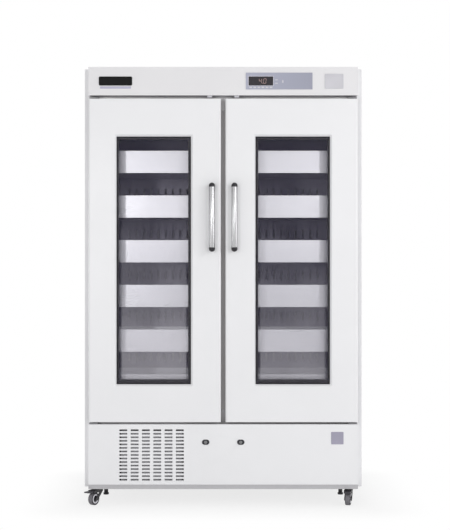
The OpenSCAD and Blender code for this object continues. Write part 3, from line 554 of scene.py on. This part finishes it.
def brushed_metal(name, base, rough, along, lines=900, depth=0.00002):
    """Metal with fine lines along one axis and broad, soft smears."""
    finish, shader, place = start_finish(name)
    stretch = [1.0, 1.0, 1.0]
    stretch["XYZ".index(along)] = 0.006
    streaks = noise(finish, place, lines, 3, stretch)
    lustre = shade(finish, streaks, darker(base, 0.95), darker(base, 1.03))
    smears = noise(finish, place, scale=5, detail=3)
    broad = spread(finish, smears, rough - 0.05, rough + 0.05)
    gloss = combine(finish, "ADD", spread(finish, streaks, -0.03, 0.04), broad)
    dress(finish, shader, lustre, gloss)
    shader.inputs["Metallic"].default_value = 1
    raise_surface(finish, shader, streaks, depth)
    return finish


def zinc_sheet(name, base):
    """Galvanised sheet with its crystal spangle."""
    finish, shader, place = start_finish(name)
    spangle = finish.node_tree.nodes.new("ShaderNodeTexVoronoi")
    spangle.inputs["Scale"].default_value = 55
    wire(finish, place, spangle.inputs["Vector"])
    grey = finish.node_tree.nodes.new("ShaderNodeRGBToBW")
    wire(finish, spangle.outputs["Color"], grey.inputs["Color"])
    crystal = grey.outputs["Val"]
    facets = shade(finish, crystal, darker(base, 0.82), darker(base, 1.1), start=0.1, end=0.9)
    gloss = spread(finish, crystal, 0.42, 0.6, start=0.1, end=0.9)
    dress(finish, shader, facets, gloss)
    shader.inputs["Metallic"].default_value = 1
    raise_surface(finish, shader, noise(finish, place, scale=160), 0.00006)
    return finish


def printed_film(name, near, far, low, high):
    """Film on a panel whose tone changes evenly from one side to the other."""
    finish, shader, place = start_finish(name)
    parts = finish.node_tree.nodes.new("ShaderNodeSeparateXYZ")
    wire(finish, place, parts.inputs["Vector"])
    across = spread(finish, parts.outputs["X"], 0, 1, start=low, end=high)
    gloss = spread(finish, noise(finish, place, scale=60), 0.38, 0.5)
    dress(finish, shader, shade(finish, across, near, far, start=0, end=1), gloss)
    shader.inputs["Specular IOR Level"].default_value = 0.35
    raise_surface(finish, shader, noise(finish, place, scale=900), 0.00002)
    return finish


def moulded(name, base, rough=0.5, grain=1400, depth=0.00004, soil=0.92, gloss=0.4):
    """Moulded plastic with a fine eroded grain."""
    finish, shader, place = start_finish(name)
    cloud = noise(finish, place, scale=9, detail=3)
    uneven = spread(finish, noise(finish, place, scale=60), rough - 0.06, rough + 0.06)
    dress(finish, shader, shade(finish, cloud, darker(base, soil), base), uneven)
    shader.inputs["Specular IOR Level"].default_value = gloss
    raise_surface(finish, shader, noise(finish, place, grain), depth)
    return finish


def soft_rubber(name, base):
    """Rubber, dull and slightly dusty."""
    finish, shader, place = start_finish(name)
    cloud = noise(finish, place, scale=45, detail=4)
    dust = shade(finish, cloud, darker(base, 0.8), darker(base, 1.12))
    gloss = spread(finish, noise(finish, place, scale=90), 0.62, 0.8)
    dress(finish, shader, dust, gloss)
    shader.inputs["Specular IOR Level"].default_value = 0.3
    raise_surface(finish, shader, noise(finish, place, scale=900), 0.00008)
    return finish


def mixed(finish, share, first, second):
    """Mixes two shaders by a share and gives the result to the surface."""
    nodes = finish.node_tree.nodes
    mix = nodes.new("ShaderNodeMixShader")
    wire(finish, share, mix.inputs["Fac"])
    wire(finish, first, mix.inputs[1])
    wire(finish, second, mix.inputs[2])
    wire(finish, mix.outputs["Shader"], nodes["Material Output"].inputs["Surface"])


def painted_veil_strength(finish, place, box):
    """How strong the painted veil on a pane is: more towards its foot, and none under its border.
    The veil is painted light that stands in for the lit lower interior behind the glass.
    """
    border = 0.029
    low, high = box
    middle = (abs(low.x + high.x) / 2, 0, (low.z + high.z) / 2)
    half = ((high.x - low.x) / 2 - border, 0, (high.z - low.z) / 2 - border)
    to_edge = [("ABSOLUTE", None), ("SUBTRACT", middle), ("ABSOLUTE", None), ("SUBTRACT", half)]
    past = finish.node_tree.nodes.new("ShaderNodeSeparateXYZ")
    wire(finish, vector_steps(finish, place, to_edge), past.inputs["Vector"])
    nearest = combine(finish, "MAXIMUM", past.outputs["X"], past.outputs["Z"])
    height = vector_steps(finish, place, [("DOT_PRODUCT", (0.2, 0, 1))])
    waver = spread(finish, noise(finish, place, scale=4, detail=3), -0.08, 0.08)
    cloudy = combine(finish, "ADD", height, waver)
    foot = spread(finish, cloudy, 1, 0, start=low.z + 0.06, end=low.z + 0.72)
    rim = spread(finish, nearest, 1, 0, start=-0.008, end=0.002)
    return combine(finish, "MULTIPLY", foot, rim)


def clear_pane(name, tint, painted_veil, box):
    """Thin glass that passes tinted light straight through and mirrors more at a slant, under a
    painted lavender veil of light that grows paler and stronger towards its foot.
    """
    straight_mirror, slant_mirror, veil_share = 0.034, 0.966, 0.07
    # painted light: a faint lavender glow over the whole pane
    faint_painted_veil = (0.16, 0.15, 0.26)
    finish, shader, place = start_finish(name)
    nodes = finish.node_tree.nodes
    # painted light: the veil's strength, more towards the foot of the pane and none under the border
    film = painted_veil_strength(finish, place, box)
    gloss = spread(finish, noise(finish, place, scale=7, detail=3), 0.01, 0.05)
    dress(finish, shader, shade(finish, film, faint_painted_veil, painted_veil, start=0, end=1), gloss)
    clear = nodes.new("ShaderNodeBsdfTransparent")
    clear.inputs["Color"].default_value = (*tint, 1)
    slant = nodes.new("ShaderNodeLayerWeight")
    glancing = combine(finish, "POWER", slant.outputs["Facing"], 5)
    mirror = combine(finish, "MULTIPLY_ADD", glancing, slant_mirror, straight_mirror)
    share = combine(finish, "MULTIPLY_ADD", film, veil_share, mirror)
    mixed(finish, share, clear.outputs["BSDF"], shader.outputs["BSDF"])
    return finish


def dark_lens(name, base):
    """The display's tinted lens: glossy, with a faint cloudiness."""
    finish, shader, place = start_finish(name)
    cloud = noise(finish, place, scale=40, detail=3)
    smoke = shade(finish, cloud, darker(base, 0.75), darker(base, 1.2))
    gloss = spread(finish, noise(finish, place, scale=120), 0.10, 0.2)
    dress(finish, shader, smoke, gloss)
    return finish


def glowing(name, base, strength):
    """Lit segments, a little uneven."""
    finish, shader, place = start_finish(name)
    glow = shade(finish, noise(finish, place, scale=300), darker(base, 0.8), base)
    wire(finish, glow, shader.inputs["Base Color"])
    wire(finish, glow, shader.inputs["Emission Color"])
    shader.inputs["Emission Strength"].default_value = strength
    shader.inputs["Roughness"].default_value = 0.4
    return finish


def raw_foam(name, base):
    """Poured foam with open cells."""
    finish, shader, place = start_finish(name)
    cells = noise(finish, place, scale=220, detail=4)
    gloss = spread(finish, cells, 0.8, 0.95)
    dress(finish, shader, shade(finish, cells, darker(base, 0.7), base), gloss)
    raise_surface(finish, shader, cells, 0.0006)
    return finish


# Operators

def look():
    """The colours in use."""
    return bpy.context.scene.fridge_colours


def size():
    """The sizes in use."""
    return bpy.context.scene.fridge_sizes


class FRIDGE_OT_studio(bpy.types.Operator):
    """Camera, lamps, white surroundings and pale floor"""

    bl_idname = "fridge.studio"
    bl_label = "Studio"

    def execute(self, context):
        studio = context.scene.fridge_studio
        context.scene.view_settings.view_transform = "Standard"
        self.camera(context.scene, studio)
        self.surroundings(context.scene, studio)
        self.floor(studio)
        for name, place, aim, wide, high, power, share in LAMPS:
            self.lamp(name, place, aim, wide, high, share * getattr(studio, power))
        return {"FINISHED"}

    @staticmethod
    def camera(scene, studio):
        view = bpy.data.cameras.new("front camera")
        view.lens = studio.lens
        view.clip_end = 100
        holder = bpy.data.objects.new("front camera", view)
        holder.location = (studio.camera_x, DOOR_FRONT - studio.distance, studio.camera_z)
        holder.rotation_euler = (math.pi / 2, 0, 0)
        scene.collection.objects.link(holder)
        scene.camera = holder

    @staticmethod
    def surroundings(scene, studio):
        """White where it is seen, in mirrors and through glass too, and an even fill elsewhere."""
        world = bpy.data.worlds.new("studio")
        scene.world = world
        world.use_nodes = True
        sky = world.node_tree.nodes["Background"]
        sky.inputs["Color"].default_value = (1, 1, 1, 1)
        strength = spread(world, seen_directly(world), studio.fill, 1, start=0, end=1)
        wire(world, strength, sky.inputs["Strength"])

    @staticmethod
    def floor(studio):
        """A pale floor that keeps the shadow and runs out into the white around it."""
        bpy.ops.mesh.primitive_circle_add(
            vertices=96, radius=9, fill_type="NGON", location=(0, 0, 0)
        )
        ground = settle(added("studio_floor"))
        finish, shader, place = start_finish("studio floor")
        nodes = finish.node_tree.nodes
        pale = tuple(studio.floor)
        cloud = noise(finish, place, scale=3, detail=3)
        wire(finish, shade(finish, cloud, darker(pale, 0.985), pale), shader.inputs["Base Color"])
        shader.inputs["Roughness"].default_value = 0.85
        shader.inputs["Specular IOR Level"].default_value = 0.1
        corner = (cad_bounds[1][0], cad_bounds[1][1], 0)
        away = [("ABSOLUTE", None), ("SUBTRACT", corner), ("MAXIMUM", (0, 0, 0)), ("LENGTH", None)]
        shadow_reach = 0.32
        fade = nodes.new("ShaderNodeMapRange")
        fade.interpolation_type = "SMOOTHSTEP"
        fade.inputs["From Max"].default_value = shadow_reach
        fade.inputs["To Min"].default_value = studio.floor_white
        wire(finish, vector_steps(finish, place, away), fade.inputs["Value"])
        white = nodes.new("ShaderNodeEmission")
        share = combine(finish, "MULTIPLY", seen_directly(finish), fade.outputs["Result"])
        mixed(finish, share, shader.outputs["BSDF"], white.outputs["Emission"])
        ground.data.materials.append(finish)

    @staticmethod
    def lamp(name, place, aim, wide, high, power):
        light = bpy.data.lights.new(name, "AREA")
        light.shape = "RECTANGLE"
        light.size = wide
        light.size_y = high
        light.energy = power
        holder = bpy.data.objects.new(name, light)
        holder.location = place
        holder.rotation_euler = (Vector(aim) - Vector(place)).to_track_quat("-Z", "Y").to_euler()
        holder.visible_camera = False
        bpy.context.scene.collection.objects.link(holder)


class FRIDGE_OT_cabinet(bpy.types.Operator):
    """Finishes of the cabinet, its panels and the machine compartment"""

    bl_idname = "fridge.cabinet"
    bl_label = "Cabinet finishes"

    def execute(self, context):
        paint = powder_coat("white powder coat", look().white_paint)
        steel = brushed_metal("brushed stainless", look().stainless, 0.33, "X")
        duct = brushed_metal("duct steel", look().duct, 0.6, "Z")
        edge = size().edge
        coat(["outer_shell", "lower_panel"], paint, edge)
        # the header's greyer white is painted shade on the same paint as the doors
        coat(["header_panel"], powder_coat("shaded header powder coat", look().shaded_header_paint), edge)
        coat([f"{side}_door_skin" for side in SIDES], paint, edge)
        coat(["back_panel"], zinc_sheet("galvanised sheet", look().galvanised), edge)
        coat(["foam_insulation"], raw_foam("poured foam", (0.82, 0.70, 0.35)))
        coat(["inner_liner"], brushed_metal("liner steel", look().liner, 0.5, "Z"), edge)
        coat(["drawer_rails", "air_duct"], duct, edge)
        coat([f"{side}_drawer_{row}" for side in SIDES for row in ROWS], steel, edge)
        hinge = powder_coat("hinge steel", look().hinge_steel, rough=0.45, peel=0.00008, soil=0.9)
        coat(["hinge_plates"], hinge, edge)
        coat(["centre_mullion"], powder_coat("mullion grey", look().mullion, rough=0.45), edge)
        fins = powder_coat("condenser fins", look().fins, rough=0.5, peel=0.00008, soil=0.9)
        coat(["condenser"], fins)
        self.fin_pack(fins)
        coat(["base_tray"], powder_coat("plinth grey", look().plinth, rough=0.42), edge)
        grey = look().panel_grey
        film = printed_film(
            "control panel film", grey, darker(grey, 0.80), CONTROL_LOW.x, CONTROL_HIGH.x
        )
        coat(["control_panel"], film, edge=0.0008)
        coat(["display_lens"], dark_lens("display lens", look().display), edge=0.0003)
        pale = moulded("pale plastic", look().pale_plastic, rough=0.48)
        coat(["door_switches", "drain_pan"], pale, edge=0.0008)
        coat([f"{side}_door_core" for side in SIDES], pale, edge)
        black = moulded("black plastic", look().black_plastic, rough=0.42)
        coat([f"{side}_door_border" for side in SIDES], black)
        coat(["power_inlet"], black, edge=0.0005)
        coat([f"{side}_levelling_foot" for side in SIDES], black, edge=0.001)
        housing = brushed_metal("dark lock metal", (0.045, 0.045, 0.05), 0.4, "Y")
        coat(["lock_housings"], housing, edge=0.0006)
        plug = brushed_metal("lock plug", (0.22, 0.22, 0.225), 0.36, "X", lines=1600)
        coat([f"{side}_lock_plug" for side in SIDES], plug, edge=0.0004)
        copper = brushed_metal("coil copper", (0.62, 0.36, 0.24), 0.42, "X", lines=300)
        coat(["evaporator"], copper)
        enamel = powder_coat(
            "compressor black", tone(34, 34, 36), rough=0.38, peel=0.00012, soil=0.8
        )
        coat(["compressor"], enamel)
        blades = moulded("fan blades", tone(40, 40, 43), rough=0.45)
        coat(["evaporator_fan", "condenser_fan"], blades, edge=0.0004)
        # the panes carry a painted veil of light, stronger towards their foot
        pane = clear_pane("window glass", look().glass, look().painted_veil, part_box("left_door_glass"))
        coat([f"{side}_door_glass" for side in SIDES], pane)
        return {"FINISHED"}

    @staticmethod
    def fin_pack(finish):
        """The close row of fins between the condenser and the slots of the lower panel."""
        low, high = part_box("condenser")
        pitch, thick, deep = 0.0024, 0.0016, 0.062
        side, foot, top, gap = 0.012, 0.026, 0.004, 0.0002
        count = int((high.x - low.x - 2 * side) / pitch)
        start = (low.x + high.x - count * pitch) / 2
        front = low.y - deep
        fin = block(
            "condenser_fins",
            (start, front, low.z + foot),
            (start + thick, low.y - gap, high.z - top),
        )
        with edit(fin):
            pick_edges(fin, lambda middle, way: middle.y < front + TOUCH and abs(way.z) > ALONG)
            bpy.ops.mesh.bevel(offset=thick * 0.4, segments=3)
        row = fin.modifiers.new("row", "ARRAY")
        row.count = count
        row.use_relative_offset = False
        row.use_constant_offset = True
        row.constant_offset_displace = (pitch, 0, 0)
        only(fin)
        bpy.ops.object.modifier_apply(modifier=row.name)
        fit(fin, "cabinet", finish)


class FRIDGE_OT_header(bpy.types.Operator):
    """Blank plates and cover on the front, keys and digits on the control panel"""

    bl_idname = "fridge.header"
    bl_label = "Front fittings"

    def execute(self, context):
        self.plates()
        self.keys()
        self.digits()
        return {"FINISHED"}

    @staticmethod
    def plates():
        """The blank name plate with its strip, the grooved service cover and the rating plate."""
        sizes = size()
        film = {"grain": 900, "depth": 0.00002}
        middle = (HEADER_LOW.z + HEADER_HIGH.z) / 2
        name_plate = plate(
            "name_plate", sizes.name_plate_x, middle, sizes.name_plate_w, sizes.name_plate_h,
            DOOR_FRONT, thick=0.003, corner=0.006, edge=0.0008,
        )
        name_plate = sink_front(name_plate, rim=0.0025, depth=0.0006)
        black = moulded("name plate black", tone(20, 20, 21), rough=0.5, gloss=0.12, **film)
        fit(name_plate, "cabinet", black)
        strip_h, strip_drop, strip_shorter = 0.0095, 0.009, 0.010
        strip_z = middle - sizes.name_plate_h / 2 - strip_drop
        strip = plate(
            "name_strip", sizes.name_plate_x, strip_z, sizes.name_plate_w - strip_shorter, strip_h,
            DOOR_FRONT, thick=0.0014, corner=0.001, edge=0.0004,
        )
        lilac = moulded("name strip", tone(186, 184, 206), rough=0.4, **film)
        fit(strip, "cabinet", lilac)
        cover_z = middle - 0.001
        cover = plate(
            "service_cover", sizes.cover_x, cover_z, sizes.cover_w, sizes.cover_h,
            DOOR_FRONT, thick=0.0026, corner=0.003, edge=0.0007,
        )
        cover = sink_front(cover, rim=0.0025, depth=0.0008)
        top = cover_z + sizes.cover_h / 2
        groove_high, groove_low = top - 0.009, top - 0.0112
        groove_half, groove_deep = sizes.cover_w / 2 - 0.004, 0.001
        with edit(cover):
            for cut in (groove_high, groove_low):
                bpy.ops.mesh.select_all(action="SELECT")
                bpy.ops.mesh.bisect(plane_co=(0, 0, cut), plane_no=(0, 0, 1))
            pick_faces(
                cover,
                lambda at, normal: normal.y < -ALONG
                and groove_low < at.z < groove_high
                and abs(at.x - sizes.cover_x) < groove_half,
            )
            inwards = (0, groove_deep, 0)
            bpy.ops.mesh.extrude_region_move(TRANSFORM_OT_translate={"value": inwards})
        fit(outwards(cover), "cabinet", bpy.data.materials["pale plastic"])
        rating = plate(
            "rating_plate", sizes.rating_x, sizes.rating_z, sizes.rating_w, sizes.rating_w,
            DOOR_FRONT, thick=0.0012, corner=0.0025, edge=0.0004,
        )
        rating = sink_front(rating, rim=0.002, depth=0.0003)
        grey = moulded("rating plate film", tone(166, 163, 181), rough=0.4, **film)
        fit(rating, "cabinet", grey)

    @staticmethod
    def keys():
        """A row of small keys under the display, three marks beside it and a bezel around it."""
        front = CONTROL_LOW.y
        row_z = (CONTROL_LOW.z + DISPLAY_LOW.z) / 2
        count, key_h, gap = 6, 0.0062, 0.006
        wide = (DISPLAY_HIGH.x - DISPLAY_LOW.x) / count
        keys = [
            plate(
                f"key_{i}", DISPLAY_LOW.x + (i + 0.5) * wide, row_z, wide - gap, key_h,
                front, thick=0.0009, corner=0.002, edge=0.0003,
            )
            for i in range(count)
        ]
        middle = (CONTROL_LOW.z + CONTROL_HIGH.z) / 2
        # Past the display's edge, above the panel's middle, width, height
        mark_places = (
            (0.015, 0.005, 0.012, 0.004),
            (0.015, -0.010, 0.012, 0.004),
            (0.043, -0.002, 0.006, 0.012),
        )
        marks = [
            plate(
                f"mark_{i}", DISPLAY_HIGH.x + past, middle + up, w, h,
                front, thick=0.0007, corner=0.001, edge=0.0002,
            )
            for i, (past, up, w, h) in enumerate(mark_places)
        ]
        pale = bpy.data.materials["pale plastic"]
        fit(joined("control_keys", keys + marks), "cabinet", pale)
        rim = 0.003
        bezel = frame_ring(
            "display_bezel",
            (DISPLAY_LOW.x - rim, 0, DISPLAY_LOW.z - rim),
            (DISPLAY_HIGH.x + rim, 0, DISPLAY_HIGH.z + rim),
            [(0, front), (0.0006, front - 0.0010), (0.0022, front - 0.0012), (rim, front)],
        )
        grey = moulded("display bezel", tone(204, 203, 214), rough=0.4)
        fit(bezel, "cabinet", grey)

    @staticmethod
    def digits():
        """A generic reading in seven-segment digits."""
        high = size().digit_h
        thick, half, step, pitch = high * 0.12, high / 2, high * 0.52, high * 0.95
        gap, lean = thick * 0.6, 0.12
        front = DISPLAY_LOW.y
        middle = (DISPLAY_LOW.z + DISPLAY_HIGH.z) / 2
        start = DISPLAY_LOW.x + 0.052
        lift = {"thick": 0.0003, "edge": 0.0001}
        spots = {
            "a": (0, half, 0), "g": (0, 0, 0), "d": (0, -half, 0),
            "f": (-step / 2, half / 2, 1), "b": (step / 2, half / 2, 1),
            "e": (-step / 2, -half / 2, 1), "c": (step / 2, -half / 2, 1),
        }
        bars = []
        for place, digit in enumerate("40"):
            for segment in LIT[digit]:
                x, z, upright = spots[segment]
                w, h = (thick, half - gap) if upright else (step - gap, thick)
                x += start + place * pitch + z * lean
                name = f"bar_{place}{segment}"
                bars.append(plate(name, x, middle + z, w, h, front, corner=thick * 0.42, **lift))
        bars.append(
            plate(
                "point", start + high * 0.47, middle - half, thick, thick,
                front, corner=thick * 0.4, **lift,
            )
        )
        glow = glowing("lit digits", look().digits, strength=0.2)
        fit(joined("display_digits", bars), "cabinet", glow)


class FRIDGE_OT_doors(bpy.types.Operator):
    """Handles, window beads and folded seals of the two doors"""

    bl_idname = "fridge.doors"
    bl_label = "Door fittings"

    def execute(self, context):
        self.handles()
        self.window_beads()
        self.seals()
        return {"FINISHED"}

    @staticmethod
    def handles():
        """Satin bars with dark, domed ends on posts, built on the left door and mirrored."""
        low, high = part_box("left_door_handle")
        tube, reach, cap = 0.0131, 0.0135, 0.018  # radius of the bar and of its ends, their length
        x, y = (low.x + high.x) / 2, low.y + reach
        bar_low, bar_high = low.z + cap, high.z - cap
        chamfer = [(0.0009, 0), (0.0003, 0.0004), (0, 0.0014)]
        bar_rings = [(tube - less, bar_low + up) for less, up in chamfer]
        bar_rings += [(tube - less, bar_high - down) for less, down in reversed(chamfer)]
        bar = put(turned("left_handle_bar", bar_rings, ROUND), (x, y, 0))
        steel = brushed_metal("handle satin steel", look().handle, 0.25, "Z", lines=1500)
        dome = [
            (reach * math.cos(angle), reach * math.sin(angle))
            for angle in (0.3, 0.6, 0.9, 1.15, 1.38, 1.5)
        ]
        mouth = reach - cap
        cap_rings = [(reach - 0.0006, mouth), (reach, mouth + 0.0007), (reach, 0), *dome]
        upper = put(turned("upper", cap_rings, ROUND), (x, y, high.z - reach))
        lower = put(turned("lower", cap_rings, ROUND), (x, y, low.z + reach), (0, 0, -1))
        root = DOOR_FRONT - y
        post_rings = [
            (0.0098, 0), (0.0098, root - 0.009), (0.0105, root - 0.006), (0.0120, root - 0.0042),
            (0.0138, root - 0.0032), (0.0140, root - 0.0022), (0.0140, root),
        ]
        posts = [
            put(turned(f"post_{i}", post_rings), (x, y, z), (0, 1, 0))
            for i, z in enumerate((high.z - reach, low.z + reach))
        ]
        ends = joined("left_handle_ends", [upper, lower, *posts])
        black = moulded("handle end black", look().black_plastic, rough=0.36)
        right_bar = mirrored(bar, "right_handle_bar")
        right_ends = mirrored(ends, "right_handle_ends")
        for side, rod, pair in (("left", bar, ends), ("right", right_bar, right_ends)):
            fit(rod, f"{side}_door", steel, [f"{side}_door_handle"])
            fit(pair, f"{side}_door", black)

    @staticmethod
    def window_beads():
        """The dark rubber bead that holds the outer pane in each window."""
        rubber = soft_rubber("window bead rubber", tone(34, 32, 38))
        low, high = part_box("left_door_glass")
        lap = 0.012
        section = [(0, 0), (0.0002, 0.0016), (0.0012, 0.0024), (0.0026, 0.0022), (0.0040, 0)]
        bead = frame_ring(
            "left_window_bead",
            (low.x + lap, 0, low.z + lap),
            (high.x - lap, 0, high.z - lap),
            [(inset, low.y - out) for inset, out in section],
        )
        for side, piece in (("left", bead), ("right", mirrored(bead, "right_window_bead"))):
            fit(piece, f"{side}_door", rubber)

    @staticmethod
    def seals():
        """Folded magnetic seals in place of the plain rings."""
        rubber = soft_rubber("door seal rubber", look().gasket)
        low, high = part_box("left_door_seal")
        deep = high.y - low.y
        steps = [(inset, low.y + deep * share) for inset, share in SEAL_STEPS]
        seal = frame_ring("left_door_gasket", low, high, steps)
        for side, piece in (("left", seal), ("right", mirrored(seal, "right_door_gasket"))):
            fit(piece, f"{side}_door", rubber, [f"{side}_door_seal"])


class FRIDGE_OT_casters(bpy.types.Operator):
    """Tyres, rims and hubs of the four casters, and the finishes of forks and pedals"""

    bl_idname = "fridge.casters"
    bl_label = "Casters"

    def execute(self, context):
        fork = powder_coat(
            "caster fork black", look().caster_fork, rough=0.4, peel=0.00006, soil=0.8
        )
        coat([f"{name}_fork" for name in CASTERS], fork, edge=0.0008)
        grey = moulded("pedal grey", tone(66, 64, 70))
        coat([f"{name}_pedal" for name in CASTERS[:2]], grey, edge=0.0008)
        # the tread's lighter grey and the sides' darker grey on the same tyre are painted light and
        # shade
        finishes = {
            "tread": ("caster_rubber", soft_rubber("lit caster tread rubber", look().lit_caster_tread)),
            "tyre": ("caster_rubber", soft_rubber("shaded caster tyre rubber", look().shaded_caster_tyre)),
            "rim": ("pale_plastic", moulded("caster rim plastic", tone(222, 221, 227), 0.45)),
            "hub": ("black_plastic", moulded("caster hub plastic", look().black_plastic, 0.45)),
        }
        for name in CASTERS:
            joint = JOINTS[f"{name}_roll"]
            place, axle = Vector(joint["pos_m"]), Vector(joint["axis"])
            for part, (slot, finish) in finishes.items():
                rings = self.rings(part, place.z)
                ring = turned(f"{name}_{part}", rings, steps=48, hollow=True)
                stands_for = [f"{name}_wheel"] if part == "tyre" else ()
                fit(put(ring, place, axle), f"{name}_wheel", finish, stands_for)
        return {"FINISHED"}

    @staticmethod
    def rings(part, radius):
        """One side's profile in metres, then the other side's."""
        half = size().wheel_w / 2
        near = [(share * radius, height * half) for share, height in WHEEL_RINGS[part]]
        return near + [(r, -h) for r, h in reversed(near)]


class FRIDGE_OT_screws(bpy.types.Operator):
    """Screws that hold the back panel"""

    bl_idname = "fridge.screws"
    bl_label = "Screws"

    def execute(self, context):
        radius = size().screw_r
        rings = [(radius * share, height) for share, height in SCREW_RINGS]
        screw = put(turned("screw", rings, steps=12), (0, BACK_HIGH.y, 0), (0, 1, 0))
        inset, spaces = 0.014, 5
        count = size().back_screws
        tall = BACK_HIGH.z - BACK_LOW.z - 2 * inset
        wide = BACK_HIGH.x - BACK_LOW.x - 2 * inset
        places = [
            (x, BACK_LOW.z + inset + tall * i / (count - 1))
            for x in (BACK_LOW.x + inset, BACK_HIGH.x - inset)
            for i in range(count)
        ]
        places += [
            (BACK_LOW.x + inset + wide * i / spaces, z)
            for z in (BACK_LOW.z + inset, BACK_HIGH.z - inset)
            for i in range(1, spaces)
        ]
        heads = [copy_of(screw, f"screw_{i}", (x, 0, z)) for i, (x, z) in enumerate(places)]
        bpy.data.objects.remove(screw)
        finish = brushed_metal("screw zinc", (0.60, 0.60, 0.62), 0.32, "X", lines=2000)
        fit(joined("back_screws", heads), "cabinet", finish)
        return {"FINISHED"}


class FRIDGE_PT_parts(bpy.types.Panel):
    """Lists the steps that dress the refrigerator"""

    bl_idname = "FRIDGE_PT_parts"
    bl_label = "Refrigerator"
    bl_space_type = "VIEW_3D"
    bl_region_type = "UI"
    bl_category = "Refrigerator"

    def draw(self, context):
        for step in STEPS:
            self.layout.operator(step.bl_idname)
        for group in GROUPS:
            values = getattr(context.scene, group)
            column = self.layout.column(align=True)
            for name in values.__annotations__:
                column.prop(values, name)


GROUPS = {
    "fridge_colours": FridgeColours,
    "fridge_sizes": FridgeSizes,
    "fridge_studio": FridgeStudio,
}
STEPS = (
    FRIDGE_OT_studio,
    FRIDGE_OT_cabinet,
    FRIDGE_OT_header,
    FRIDGE_OT_doors,
    FRIDGE_OT_casters,
    FRIDGE_OT_screws,
)


def register():
    for group in (*GROUPS.values(), *STEPS, FRIDGE_PT_parts):
        bpy.utils.register_class(group)
    for name, group in GROUPS.items():
        setattr(bpy.types.Scene, name, PointerProperty(type=group))


def unregister():
    for name in GROUPS:
        delattr(bpy.types.Scene, name)
    for group in reversed((*GROUPS.values(), *STEPS, FRIDGE_PT_parts)):
        bpy.utils.unregister_class(group)


def main():
    register()
    bpy.ops.fridge.studio()
    bpy.ops.fridge.cabinet()
    bpy.ops.fridge.header()
    bpy.ops.fridge.doors()
    bpy.ops.fridge.casters()
    bpy.ops.fridge.screws()


if __name__ == "__main__":
    main()
